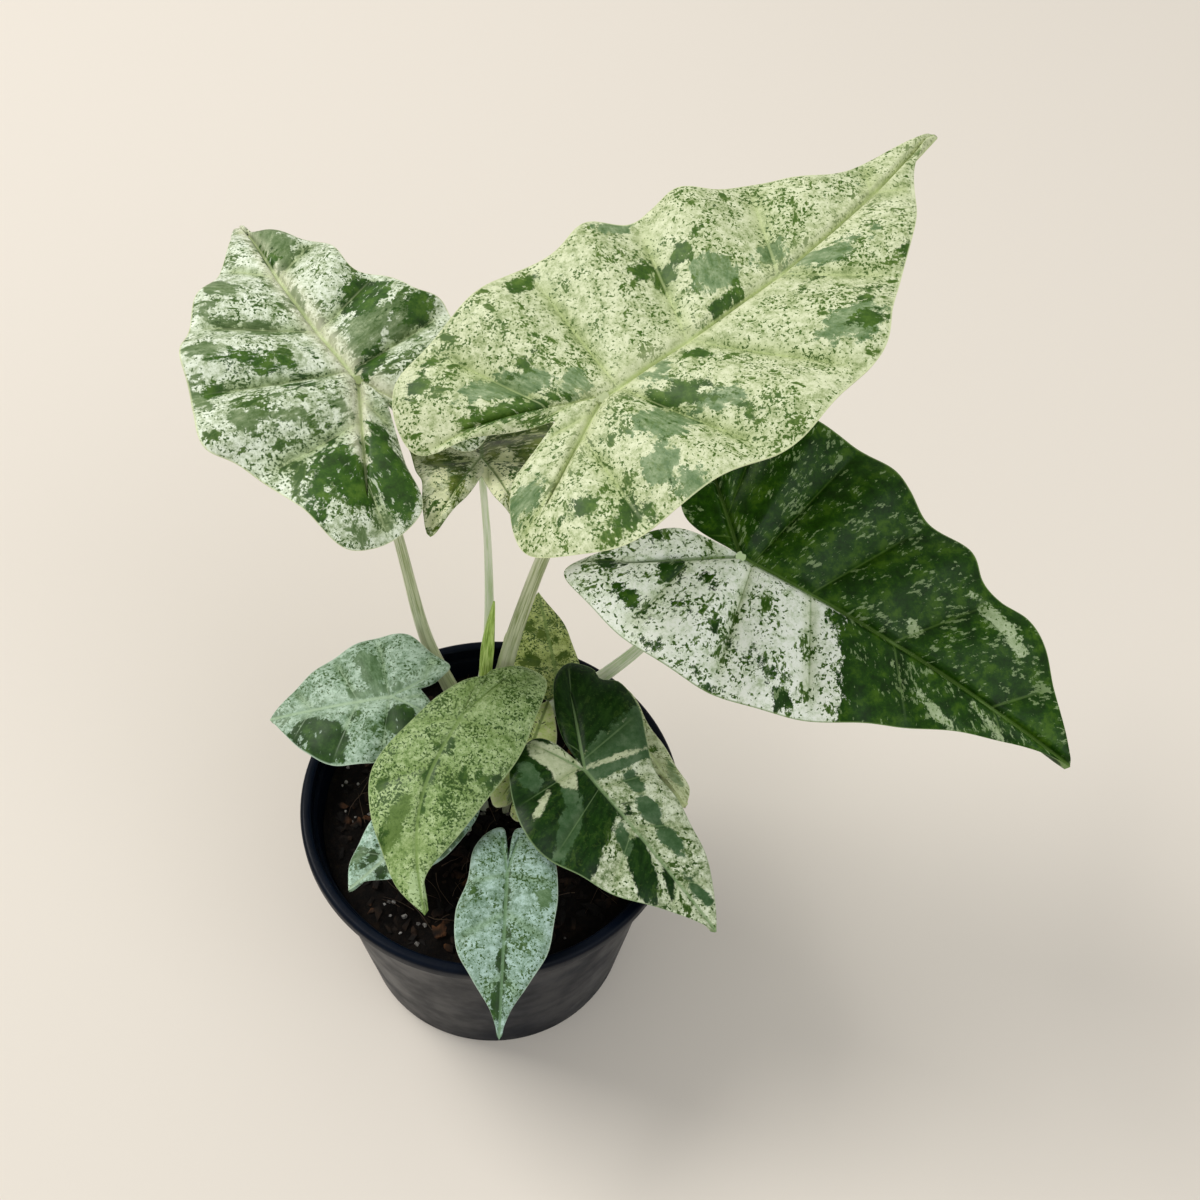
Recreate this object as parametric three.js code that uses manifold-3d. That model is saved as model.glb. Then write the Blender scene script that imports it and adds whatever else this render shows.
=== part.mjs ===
// Potted alocasia: a variegated elephant's ear in a 15 cm black nursery pot, millimetres, +Z up.
// The origin is the middle of the pot's base. The front of the plant faces -Y.
import * as THREE from 'three';
import { mergeVertices } from 'three/addons/utils/BufferGeometryUtils.js';
import Module from 'manifold-3d';

const GAP = 0.3; // clearance between touching pieces

// Pot
const POT_HEIGHT = 113;
const POT_RIM_RADIUS = 75;
const POT_BASE_RADIUS = 57.5;
const POT_WALL = 1.6;
const POT_FLOOR = 2.5;
const POT_NECK_RADIUS = 70.5; // outside of the wall where it meets the rim
const RIM_HEIGHT = 6;
const RIM_WIDTH = 4.4;
const RIM_ROUND = 1.5;
const POT_SIDES = 60;
const DRAIN_RADIUS = 4.5;
const DRAIN_CIRCLE = 42;
const DRAIN_COUNT = 6;

// Soil
const SOIL_LEVEL = 98;
const SOIL_BUMP = 1.3;
const STALK_DEPTH = 12; // how deep each stalk stands in the soil
const HOLE_GAP = 0.5; // round a stalk in its hole

// Leaves
const BLADE_THICKNESS = 0.9;
const VEIN_LEAN = 1.5; // over 1, the side veins slant towards the tip

// A blade is drawn in its own plane: along runs from the joint with the stalk to the tip, across to
// the leaf's left. Each margin is listed from near the tip round the lobe to near the notch.
// drop values bend the tip and the lobes down, rise lifts (or lowers) the two halves into a fold, and
// bow bends the midrib to the left or right between the joint and the tip.
const LEAVES = [
  {
    name: 'leaf_1', joint: [34, 38, 300], heading: 48, pitch: 12, roll: 0, length: 164, notch: [-16, 5],
    left: [
      [150, 2.5], [135, 6], [118, 10], [105, 20], [96, 27], [85, 32], [76, 39.5], [65, 41],
      [55, 42.5], [44, 50], [30, 50], [15, 55], [-5, 56], [-39, 54], [-51, 36], [-35, 20],
    ],
    right: [
      [141, -9], [122, -25], [100, -37], [84, -46], [71, -54], [55, -56], [29, -59], [8, -53],
      [-15, -47], [-38, -39], [-52, -18], [-41, 0],
    ],
    halfWidth: 58, bow: -8, tipDrop: 16, lobe: 55, lobeDrop: 12, riseLeft: 7, riseRight: 7,
    waves: 7, wave: 2.2, fine: true,
    stalk: { foot: [-3, 40], bends: [[2, 40, 145], [12, 40, 197]], base: 4.3, top: 2.1 },
  },
  {
    name: 'leaf_2', joint: [-51, 76, 262], heading: 122, pitch: 8, roll: 0, length: 122, notch: [-13, -5],
    left: [
      [98, 10], [85, 14], [72, 22], [62, 29], [55, 38], [43, 45], [31, 52], [19, 54], [5, 57],
      [-10, 59], [-19, 50], [-39, 39], [-59, 29], [-55, 2], [-36, -1],
    ],
    right: [
      [98, 4], [85, -1], [75, -8], [66, -16], [48, -18], [40, -28], [27, -33], [20, -41], [6, -41],
      [-11, -45], [-29, -40], [-41, -26], [-31, -12],
    ],
    halfWidth: 50, bow: 7, tipDrop: 50, tipPower: 4, lobe: 58, lobeDrop: 8, riseLeft: 5, riseRight: 5,
    waves: 7, wave: 2, fine: true,
    stalk: { foot: [-15, 43], bends: [[-20, 47, 110], [-30, 52, 139], [-38, 54, 202]], base: 4, top: 1.7 },
  },
  {
    name: 'leaf_3', joint: [85, 33, 232], heading: -26, pitch: -10, roll: 18, length: 134, notch: [-3, 0],
    left: [
      [125, 10], [116, 20], [107, 29], [96, 35], [85, 36], [76, 38], [67, 44], [50, 46], [39, 51],
      [28, 55], [12, 56], [-7, 56], [-23, 60], [-41, 42], [-35, 20], [-24, 3],
    ],
    right: [
      [113, -5], [92, -14], [73, -24], [54, -35], [34, -44], [13, -48], [-8, -48],
      [-30, -44], [-50, -35], [-39, -18], [-24, -2],
    ],
    halfWidth: 55, bow: 2, tipDrop: 16, lobe: 46, lobeDrop: 8, riseLeft: 5, riseRight: 5,
    waves: 7, wave: 2, fine: true,
    stalk: {
      foot: [11, 42], bends: [[26, 45, 115], [42, 47, 134], [54, 47, 153], [63, 43, 178]], base: 4.1, top: 1.8,
    },
  },
  {
    name: 'leaf_4', joint: [-8, 67, 236], heading: 96, pitch: -20, roll: 0, length: 95, notch: [-12, 0],
    left: [
      [80, 6], [60, 17], [38, 25], [14, 28], [2, 25], [-8, 23], [-17, 20.5], [-29, 20], [-38, 17],
      [-25, 7],
    ],
    right: [
      [80, -6], [60, -17], [38, -25], [14, -29], [-10, -28], [-29, -23], [-37, -15],
      [-25, -6],
    ],
    halfWidth: 30, tipDrop: 15, lobe: 35, lobeDrop: 8, riseLeft: 2, riseRight: 2,
    waves: 6, wave: 1.4,
    stalk: { foot: [-10, 50], bends: [[-6, 52, 140], [-6, 61, 190]], base: 3.6, top: 1.3 },
  },
  {
    name: 'leaf_5', joint: [-40, 21, 147], heading: 189, pitch: -8, roll: 0, length: 49, notch: [-11, -2],
    left: [
      [42, 9], [35, 17], [27, 23], [16, 26], [2, 25.5], [-10, 21], [-17, 13], [-15, 5],
    ],
    right: [
      [40, -10], [30, -18], [19, -24], [6, -28], [-7, -27], [-16, -18], [-23, -11],
      [-18, -5],
    ],
    halfWidth: 28, tipDrop: 4, lobe: 25, lobeDrop: 2, riseLeft: -2, riseRight: 3,
    waves: 5, wave: 0.8,
    stalk: { foot: [-24, 28], bends: [[-30, 26, 120]], base: 2.4, top: 1.1 },
  },
  {
    name: 'leaf_6', joint: [-11, 8, 158], heading: 264, pitch: -15, roll: 0, length: 74, notch: [-18, 5],
    left: [
      [60, -2], [44, 7], [30, 14], [15, 22], [0, 26], [-21, 28], [-26, 18],
      [-22, 7],
    ],
    right: [
      [66, -12], [54, -20], [41, -27], [27, -30], [14, -25], [2, -17], [-9, -8],
      [-15, -2],
    ],
    halfWidth: 28, bow: -9, tipDrop: 10, lobe: 25, lobeDrop: 8, riseLeft: -4, riseRight: -2,
    waves: 5, wave: 0.8,
    stalk: { foot: [-4, 3], bends: [[-6, 3, 122]], base: 2.6, top: 1.2 },
  },
  {
    name: 'leaf_7', joint: [10, -41, 130], heading: 272, pitch: -6, roll: 0, length: 59, notch: [-3, 0],
    left: [
      [49, 4], [40, 10], [30, 16], [19, 18], [8, 19], [-6, 17], [-16, 10],
      [-17, 2],
    ],
    right: [
      [49, -4], [39, -11], [29, -17], [16, -18], [4, -14.5], [-8, -13], [-16, -8], [-17, -2],
    ],
    halfWidth: 20, tipDrop: 12, lobe: 20, lobeDrop: 3, riseLeft: 2, riseRight: 2,
    waves: 5, wave: 0.6,
    stalk: { foot: [5, -14], bends: [[7, -27, 116]], base: 2.3, top: 1.1 },
  },
  {
    name: 'leaf_8', joint: [36, -3, 142], heading: 315, pitch: -12, roll: 0, length: 77, notch: [-4, 0],
    left: [
      [59, 13], [37, 20], [17, 22], [7, 26], [-6, 34], [-19, 35], [-25, 30],
      [-31, 31], [-39, 26], [-37, 17], [-27, 8], [-15, 2],
    ],
    right: [
      [61, -9], [47, -20], [31, -28], [12, -35], [-4, -31], [-18, -22], [-22, -8],
      [-15, -2],
    ],
    halfWidth: 30, tipDrop: 5, lobe: 35, lobeDrop: 4, riseLeft: 2, riseRight: 2,
    waves: 6, wave: 1, fine: true,
    stalk: { foot: [24, -6], bends: [[28, -6, 118]], base: 2.8, top: 1.3 },
  },
  {
    name: 'leaf_9', joint: [47, 34, 130], heading: 307, pitch: -6, roll: 0, length: 49, notch: [-5, 0],
    left: [
      [43, 6], [33, 6.5], [24, 7], [12, 7], [1, 8.5], [-6, 8], [-9, 4],
    ],
    right: [
      [44, 1.5], [38, 0.5], [32, -2], [24, -7], [12, -11], [0, -12], [-8, -10], [-10, -5],
    ],
    halfWidth: 13, tipDrop: 4, lobe: 15, lobeDrop: 3, riseLeft: 2, riseRight: 2,
    waves: 4, wave: 0.5,
    stalk: { foot: [31, 21], bends: [[37, 26, 114]], base: 2, top: 0.9 },
  },
  {
    name: 'leaf_10', joint: [-19, -14, 121], heading: 228, pitch: -3, roll: 0, length: 45, notch: [-4, 0],
    left: [
      [38, 2], [30, 8], [20, 13.5], [9, 15.5], [-2, 14], [-12, 10], [-15, 4],
    ],
    right: [
      [38, -8], [30, -12], [20, -16], [9, -17], [-2, -15], [-12, -11], [-15, -5],
    ],
    halfWidth: 17, tipDrop: 1, lobe: 16, lobeDrop: 2, riseLeft: 2, riseRight: 2,
    waves: 4, wave: 0.5,
    stalk: { foot: [-9, -8], bends: [[-13, -10, 112]], base: 2, top: 1 },
  },
  {
    name: 'leaf_11', joint: [22, 46, 132], heading: 105, pitch: 8, roll: 0, length: 40, notch: [-4, 0],
    left: [
      [36, 4], [28, 12], [20, 18], [10, 20], [0, 16], [-7, 10], [-10, 4],
    ],
    right: [
      [35, -2], [25, -7], [14, -9], [5, -10], [-3, -10], [-9, -8], [-11, -4],
    ],
    halfWidth: 18, tipDrop: 2, lobe: 12, lobeDrop: 2, riseLeft: 2, riseRight: 2,
    waves: 4, wave: 0.5,
    stalk: { foot: [19, 54], bends: [[20, 51, 115]], base: 2, top: 1 },
  },
  {
    name: 'leaf_12', joint: [12, 5, 126], heading: 78, pitch: -5, roll: 0, length: 36, notch: [-14, 0],
    left: [
      [30, 5], [20, 9], [9, 11], [-2, 12], [-12, 10], [-19, 6], [-17, 2],
    ],
    right: [
      [30, -4], [20, -8], [9, -10], [-2, -11], [-12, -10], [-22, -6], [-20, -1],
    ],
    halfWidth: 14, tipDrop: 1, lobe: 20, lobeDrop: 2, riseLeft: 2, riseRight: 2,
    waves: 4, wave: 0.5,
    stalk: { foot: [5, 1], bends: [[8, 3, 111]], base: 2, top: 1 },
  },
];

// The newest leaf is still rolled up: a pointed spear that stands beside the tallest stalk.
const SPEAR = {
  foot: [-9, 31], bends: [[-6, 38, 138], [-4, 41, 165]], end: [-2, 42, 184], base: 2.2, middle: 2.6,
};

const COLOURS = {
  leaf_1: 0xc9d3a4, leaf_2: 0xbcc9a2, leaf_3: 0x2f5a26, leaf_4: 0x4a6b45, leaf_5: 0xb4ccb0, leaf_6: 0xa9bd77,
  leaf_7: 0xbfd0bd, leaf_8: 0x5d7f56, leaf_9: 0xc0d0ae, leaf_10: 0xb7cfbd, leaf_11: 0x9aa863, leaf_12: 0xb9cf6f,
  stalk: 0xbccb9b, spear: 0x9dbb3f, soil: 0x2b1f18, pot: 0x1c2026,
};

const radians = THREE.MathUtils.degToRad;

function weld(geometry) {
  const plain = geometry.clone();
  plain.deleteAttribute('normal');
  plain.deleteAttribute('uv');
  return mergeVertices(plain, 1e-4);
}

// Closed solid from a list of points and triangles
function solidFrom(points, triangles) {
  const geometry = new THREE.BufferGeometry();
  const places = points.flatMap((p) => [p.x, p.y, p.z]);
  geometry.setAttribute('position', new THREE.Float32BufferAttribute(places, 3));
  geometry.setIndex(triangles.flat());
  geometry.computeVertexNormals();
  return geometry;
}

// Gives an open sheet its thickness: both faces have the same triangles, and a band closes the edge
function thicken(points, triangles, thickness) {
  const sheet = solidFrom(points, triangles);
  const normals = sheet.getAttribute('normal');
  const upper = [];
  const lower = [];
  points.forEach((point, i) => {
    const normal = new THREE.Vector3().fromBufferAttribute(normals, i);
    upper.push(point.clone().addScaledVector(normal, thickness / 2));
    lower.push(point.clone().addScaledVector(normal, -thickness / 2));
  });
  const count = points.length;
  const faces = [];
  const edges = new Map();
  for (const [a, b, c] of triangles) {
    faces.push([a, b, c], [a + count, c + count, b + count]);
    for (const [from, to] of [[a, b], [b, c], [c, a]]) {
      if (!edges.delete(`${to} ${from}`)) edges.set(`${from} ${to}`, [from, to]);
    }
  }
  for (const [from, to] of edges.values()) {
    faces.push([from, from + count, to + count], [from, to + count, to]);
  }
  return solidFrom([...upper, ...lower], faces);
}

// The three directions of a blade: along the midrib, across to its left, and up out of its face
function bladeAxes(leaf) {
  const heading = radians(leaf.heading);
  const pitch = radians(leaf.pitch);
  const along = new THREE.Vector3(
    Math.cos(heading) * Math.cos(pitch), Math.sin(heading) * Math.cos(pitch), Math.sin(pitch));
  const across = new THREE.Vector3(-Math.sin(heading), Math.cos(heading), 0);
  across.applyAxisAngle(along, radians(leaf.roll));
  const up = new THREE.Vector3().crossVectors(along, across);
  return { along, across, up };
}

function midribSide(leaf, s) {
  return s > 0 ? (leaf.bow ?? 0) * Math.sin((Math.PI * s) / leaf.length) : 0;
}

// Height of the blade over its plane: tip and lobes bend down, the halves fold about the midrib
function bladeHeight(leaf, s, w) {
  const bend = s > 0
    ? -leaf.tipDrop * (s / leaf.length) ** (leaf.tipPower ?? 2)
    : -leaf.lobeDrop * (s / leaf.lobe) ** 2;
  const side = w - midribSide(leaf, s);
  const rise = side > 0 ? leaf.riseLeft : leaf.riseRight;
  return bend + rise * (Math.abs(side) / leaf.halfWidth) ** 1.5;
}

// One half of a blade as rows of points. Each row runs out along a side vein, from the midrib (or
// from the rib of the lobe) to the margin. The rows go from the tip, round the lobe, to the notch.
function bladeRows(leaf, margin, rows, lobeRows, columns) {
  const tip = new THREE.Vector2(leaf.length, 0);
  const joint = new THREE.Vector2(0, 0);
  const notch = new THREE.Vector2(...leaf.notch);
  const outline = new THREE.SplineCurve([tip, ...margin.map(([s, w]) => new THREE.Vector2(s, w)), notch]);
  const steps = 400;
  const fine = outline.getSpacedPoints(steps);
  const side = fine.findIndex((p) => p.x < 0);
  const back = fine.reduce((best, p, i) => (p.x < fine[best].x ? i : best), 0);
  const lobeRib = fine[back].clone().multiplyScalar(0.7);
  const total = rows + 2 * lobeRows;
  const result = [];
  for (let i = 0; i <= total; i += 1) {
    let edge;
    let root;
    if (i <= rows) {
      edge = fine[Math.round((i / rows) * side)];
      root = tip.clone().lerp(joint, 1 - (1 - i / rows) ** VEIN_LEAN);
      root.y = midribSide(leaf, root.x);
    } else if (i <= rows + lobeRows) {
      const share = (i - rows) / lobeRows;
      edge = fine[Math.round(side + share * (back - side))];
      root = joint.clone().lerp(lobeRib, share);
    } else {
      const share = (i - rows - lobeRows) / lobeRows;
      edge = fine[Math.round(back + share * (steps - back))];
      root = lobeRib.clone().lerp(joint, share);
    }
    const way = i / total;
    const ripple = leaf.wave * Math.sin(2 * Math.PI * leaf.waves * way) * Math.sin(Math.PI * way) ** 0.5;
    const row = [];
    for (let j = 0; j <= columns; j += 1) {
      const reach = j / columns;
      const flat = root.clone().lerp(edge, reach);
      row.push([flat.x, flat.y, bladeHeight(leaf, flat.x, flat.y) + ripple * reach ** 2]);
    }
    result.push(row);
  }
  return result;
}

function blade(leaf) {
  const [rows, lobeRows, columns] = leaf.fine ? [20, 6, 4] : [12, 4, 3];
  const { along, across, up } = bladeAxes(leaf);
  const joint = new THREE.Vector3(...leaf.joint);
  const points = [];
  const triangles = [];
  const known = new Map();
  const pointAt = ([s, w, h]) => {
    const key = [s, w].map((v) => Math.round(v * 1000)).join(' ');
    if (!known.has(key)) {
      known.set(key, points.length);
      points.push(joint.clone().addScaledVector(along, s).addScaledVector(across, w).addScaledVector(up, h));
    }
    return known.get(key);
  };
  for (const [margin, isLeft] of [[leaf.left, true], [leaf.right, false]]) {
    const grid = bladeRows(leaf, margin, rows, lobeRows, columns).map((row) => row.map(pointAt));
    for (let i = 0; i + 1 < grid.length; i += 1) {
      for (let j = 0; j < columns; j += 1) {
        const [a, b] = [grid[i][j], grid[i][j + 1]];
        const [c, d] = [grid[i + 1][j], grid[i + 1][j + 1]];
        for (const corners of [[a, b, d], [a, d, c]]) {
          if (new Set(corners).size === 3) triangles.push(isLeft ? corners : corners.reverse());
        }
      }
    }
  }
  return thicken(points, triangles, BLADE_THICKNESS);
}

// A round bar along a curve with a radius that changes along it, closed at both ends
function sweep(curve, radiusAt, sides, steps) {
  const frames = curve.computeFrenetFrames(steps, false);
  const points = [];
  const faces = [];
  for (let i = 0; i <= steps; i += 1) {
    const centre = curve.getPointAt(i / steps);
    for (let k = 0; k < sides; k += 1) {
      const angle = (2 * Math.PI * k) / sides;
      const radius = radiusAt(i / steps);
      points.push(centre.clone()
        .addScaledVector(frames.normals[i], radius * Math.cos(angle))
        .addScaledVector(frames.binormals[i], radius * Math.sin(angle)));
    }
  }
  for (let i = 0; i < steps; i += 1) {
    for (let k = 0; k < sides; k += 1) {
      const [a, b] = [i * sides + k, i * sides + ((k + 1) % sides)];
      faces.push([a, b, b + sides], [a, b + sides, a + sides]);
    }
  }
  const last = steps * sides;
  for (let k = 1; k + 1 < sides; k += 1) {
    faces.push([0, k + 1, k], [last, last + k, last + k + 1]);
  }
  return solidFrom(points, faces);
}

// A leaf stalk: a broad sheathing foot in the soil, thinning to the joint under the blade
function risingCurve([x, y], bends, clearance) {
  return new THREE.CatmullRomCurve3([
    new THREE.Vector3(x, y, SOIL_LEVEL - STALK_DEPTH - clearance), new THREE.Vector3(x, y, SOIL_LEVEL),
    ...bends.map((p) => new THREE.Vector3(...p))]);
}

function stalk(leaf, clearance = 0) {
  const { foot, bends, base, top } = leaf.stalk;
  const { up } = bladeAxes(leaf);
  const below = (depth) => new THREE.Vector3(...leaf.joint).addScaledVector(up, -depth).toArray();
  const end = BLADE_THICKNESS / 2 + GAP;
  const curve = risingCurve(foot, [...bends, below(end + 5), below(end)], clearance);
  const radius = (u) => top + (base - top) * (1 - u) ** 2 + clearance;
  return sweep(curve, radius, 8, leaf.fine ? 16 : 11);
}

function spear(clearance = 0) {
  const curve = risingCurve(SPEAR.foot, [...SPEAR.bends, SPEAR.end], clearance);
  const radius = (u) => (u < 0.7
    ? THREE.MathUtils.lerp(SPEAR.base, SPEAR.middle, u / 0.7)
    : THREE.MathUtils.lerp(SPEAR.middle, 0.4, ((u - 0.7) / 0.3) ** 1.5)) + clearance;
  return sweep(curve, radius, 8, 12);
}

function wallRadius(z) {
  return THREE.MathUtils.lerp(POT_BASE_RADIUS, POT_NECK_RADIUS, z / (POT_HEIGHT - RIM_HEIGHT));
}

function lathe(profile, sides) {
  const turned = new THREE.LatheGeometry(profile.map(([r, z]) => new THREE.Vector2(r, z)), sides);
  return weld(turned.rotateX(Math.PI / 2));
}

function potBody() {
  const under = POT_HEIGHT - RIM_HEIGHT;
  const inner = POT_RIM_RADIUS - RIM_WIDTH;
  return lathe([
    [0, 0], [POT_BASE_RADIUS - 1, 0], [POT_BASE_RADIUS, 1], [wallRadius(under - 1), under - 1],
    [POT_RIM_RADIUS - RIM_ROUND, under], [POT_RIM_RADIUS, under + 1], [POT_RIM_RADIUS, POT_HEIGHT - RIM_ROUND],
    [POT_RIM_RADIUS - RIM_ROUND / 3, POT_HEIGHT - RIM_ROUND / 3], [POT_RIM_RADIUS - RIM_ROUND, POT_HEIGHT],
    [inner + RIM_ROUND, POT_HEIGHT], [inner, POT_HEIGHT - RIM_ROUND], [inner, under + 1],
    [wallRadius(under) - POT_WALL, under],
    [wallRadius(POT_FLOOR + 2) - POT_WALL, POT_FLOOR + 2], [wallRadius(POT_FLOOR) - POT_WALL - 2, POT_FLOOR],
    [0, POT_FLOOR],
  ], POT_SIDES);
}

function soilBody() {
  const low = POT_FLOOR + GAP;
  const side = (z) => wallRadius(z) - POT_WALL - GAP - 0.15;
  const rings = [64, 56, 48, 40, 32, 24, 16, 8];
  const geometry = lathe([
    [0, low], [side(low) - 2.6, low], [side(low + 3), low + 3], [side(SOIL_LEVEL), SOIL_LEVEL],
    ...rings.map((r) => [r, SOIL_LEVEL]), [0, SOIL_LEVEL]], 48);
  const place = geometry.getAttribute('position');
  for (let i = 0; i < place.count; i += 1) {
    const [x, y, z] = [place.getX(i), place.getY(i), place.getZ(i)];
    if (z < SOIL_LEVEL - 1) continue;
    const lumps = Math.sin(x * 0.23 + 1) * Math.cos(y * 0.19) + 0.7 * Math.sin(x * 0.41 - y * 0.37);
    place.setZ(i, z + SOIL_BUMP * 0.6 * lumps);
  }
  return geometry;
}

const wasm = await Module();
wasm.setup();

function toSolid(geometry) {
  const welded = weld(geometry);
  const index = [...welded.getIndex().array];
  const triVerts = [];
  for (let i = 0; i < index.length; i += 3) {
    const corners = index.slice(i, i + 3);
    if (new Set(corners).size === 3) triVerts.push(...corners);
  }
  const mesh = new wasm.Mesh({
    numProp: 3,
    vertProperties: new Float32Array(welded.getAttribute('position').array),
    triVerts: new Uint32Array(triVerts),
  });
  return new wasm.Manifold(mesh);
}

function fromSolid(solid) {
  const mesh = solid.getMesh();
  const geometry = new THREE.BufferGeometry();
  geometry.setAttribute('position', new THREE.BufferAttribute(new Float32Array(mesh.vertProperties), 3));
  geometry.setIndex([...mesh.triVerts]);
  geometry.computeVertexNormals();
  return geometry;
}

function cut(body, cutters) {
  return fromSolid(cutters.reduce((rest, cutter) => rest.subtract(toSolid(cutter)), toSolid(body)));
}

const drains = Array.from({ length: DRAIN_COUNT }, (_, i) => {
  const angle = (2 * Math.PI * (i + 0.5)) / DRAIN_COUNT;
  return new THREE.CylinderGeometry(DRAIN_RADIUS, DRAIN_RADIUS, 4 * POT_FLOOR, 16)
    .rotateX(Math.PI / 2)
    .translate(DRAIN_CIRCLE * Math.cos(angle), DRAIN_CIRCLE * Math.sin(angle), 0);
});

const plant = new THREE.Group();

function add(name, geometry, color, roughness, metalness = 0) {
  const mesh = new THREE.Mesh(geometry, new THREE.MeshStandardMaterial({ color, roughness, metalness }));
  mesh.name = name;
  plant.add(mesh);
}

add('pot', cut(potBody(), drains), COLOURS.pot, 0.4);
const stalkHoles = [...LEAVES.map((leaf) => stalk(leaf, HOLE_GAP)), spear(HOLE_GAP)];
add('soil', cut(soilBody(), stalkHoles), COLOURS.soil, 0.95);
for (const leaf of LEAVES) {
  add(`${leaf.name}_blade`, blade(leaf), COLOURS[leaf.name], 0.45);
  add(`${leaf.name}_stalk`, stalk(leaf), COLOURS.stalk, 0.5);
}
add('new_leaf_spear', spear(), COLOURS.spear, 0.5);

export default plant;
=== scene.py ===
import math
import random
from functools import partial
from itertools import accumulate, chain

import bmesh
import bpy
from mathutils import Matrix, Vector


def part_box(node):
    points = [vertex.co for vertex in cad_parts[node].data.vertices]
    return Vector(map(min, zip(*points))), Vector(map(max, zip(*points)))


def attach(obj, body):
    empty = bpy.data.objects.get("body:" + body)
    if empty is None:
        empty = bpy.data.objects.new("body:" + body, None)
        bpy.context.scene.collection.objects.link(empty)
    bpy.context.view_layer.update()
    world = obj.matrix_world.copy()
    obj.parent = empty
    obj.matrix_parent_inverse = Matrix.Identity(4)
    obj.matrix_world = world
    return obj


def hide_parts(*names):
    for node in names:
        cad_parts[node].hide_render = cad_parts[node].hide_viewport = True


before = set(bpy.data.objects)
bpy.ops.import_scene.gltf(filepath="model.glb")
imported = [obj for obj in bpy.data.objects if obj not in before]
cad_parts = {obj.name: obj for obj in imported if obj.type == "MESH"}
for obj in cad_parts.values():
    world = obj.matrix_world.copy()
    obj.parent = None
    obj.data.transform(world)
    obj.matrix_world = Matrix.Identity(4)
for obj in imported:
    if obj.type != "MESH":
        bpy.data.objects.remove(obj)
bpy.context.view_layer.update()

# The studio: a plain pale floor, one large soft light high on the left, a weaker one on the right
# and an even sky. The camera looks steeply down on the plant, as in the photograph.
CAMERA_PLACE = Vector((0.0375, -0.293, 0.634))
CAMERA_DOWN = math.radians(53)  # below the horizon
CAMERA_ROLL = math.radians(3.8)
SENSOR_WIDTH = 36
PHOTO_SIDE = 1200  # pixels
FOCAL_LENGTH = 1500  # pixels of the photograph
FLOOR_RADIUS = 6
LIT_SPOT = Vector((0, 0, 0.15))


def paint(red, green, blue):
    """A colour on a 0 to 255 scale, as Blender's linear values."""
    shares = [value / 255 for value in (red, green, blue)]
    return (*[v / 12.92 if v <= 0.04045 else ((v + 0.055) / 1.055) ** 2.4 for v in shares], 1)


def fill(tree, node, inputs):
    """Sets a node's inputs, or joins them where the value is another node's socket."""
    for name, value in inputs.items():
        if isinstance(value, bpy.types.NodeSocket):
            tree.links.new(value, node.inputs[name])
        else:
            node.inputs[name].default_value = value


def new_material(name):
    material = bpy.data.materials.new(name)
    material.use_nodes = True
    return material, material.node_tree, material.node_tree.nodes["Principled BSDF"]


def set_inputs(tree, shader, **inputs):
    """Fills the shader's sockets. Underscores in a name stand for spaces."""
    fill(tree, shader, {name.replace("_", " "): value for name, value in inputs.items()})


def deselect():
    if bpy.context.object and bpy.context.object.mode != "OBJECT":
        bpy.ops.object.mode_set(mode="OBJECT")
    bpy.ops.object.select_all(action="DESELECT")


def soft_light(name, place, size, power, tint):
    data = bpy.data.lights.new(name, "AREA")
    data.size = size
    data.energy = power
    data.color = tint
    light = bpy.data.objects.new(name, data)
    light.location = place
    light.rotation_euler = (LIT_SPOT - Vector(place)).to_track_quat("-Z", "Y").to_euler()
    scene.collection.objects.link(light)


scene = bpy.context.scene
scene.view_settings.view_transform = "Standard"

camera_data = bpy.data.cameras.new("camera")
camera_data.sensor_width = SENSOR_WIDTH
camera_data.lens = FOCAL_LENGTH / PHOTO_SIDE * SENSOR_WIDTH
camera_data.clip_start = 0.01
camera = bpy.data.objects.new("camera", camera_data)
tilt = Matrix.Rotation(math.radians(90) - CAMERA_DOWN, 4, "X")
camera.matrix_world = Matrix.Translation(CAMERA_PLACE) @ tilt @ Matrix.Rotation(CAMERA_ROLL, 4, "Z")
scene.collection.objects.link(camera)
scene.camera = camera

deselect()
bpy.ops.mesh.primitive_circle_add(vertices=96, radius=FLOOR_RADIUS, fill_type="NGON", location=(0, 0, 0))
floor = bpy.context.object
floor.name = "floor"
floor_paint, tree, shader = new_material("floor_paint")
set_inputs(tree, shader, Base_Color=paint(226, 219, 209), Roughness=0.9, Specular_IOR_Level=0.1)
floor.data.materials.append(floor_paint)

soft_light("window", (-1.8, 0.7, 2.6), 1.5, 65, (1.0, 0.98, 0.94))
soft_light("fill", (1.6, -1.4, 2.2), 2.2, 23, (0.93, 0.97, 1.0))
sky = bpy.data.worlds.new("sky")
sky.use_nodes = True
sky.node_tree.nodes["Background"].inputs["Color"].default_value = (1.0, 0.985, 0.96, 1)
sky.node_tree.nodes["Background"].inputs["Strength"].default_value = 0.5
scene.world = sky


# The nursery pot: one moulded piece of black plastic, tapered, with a rolled band round its mouth
# and a small ledge inside below the band. Six drain holes go through its floor.
POT_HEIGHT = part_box("pot")[1].z
POT_RIM_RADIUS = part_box("pot")[1].x
POT_BASE_RADIUS = 0.0575
POT_NECK_RADIUS = 0.0705
POT_WALL = 0.0016
POT_FLOOR = 0.0025
FLOOR_ROUND = 0.003  # of the corner inside, between floor and wall
FOOT_WIDTH = 0.006  # of the ring that the pot stands on
FOOT_ROUND = 0.001
FOOT_LIFT = 0.0006  # of the base inside that ring
RIM_HEIGHT = 0.006
RIM_WIDTH = 0.0044
RIM_ROUND = 0.0018
RIM_INNER_ROUND = 0.0012
RIM_UNDER_ROUND = 0.0008
CORNER_EASE = 0.0004  # which softens the tight corners between wall, rim and ledge
DRAIN_RADIUS = 0.0045
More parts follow.
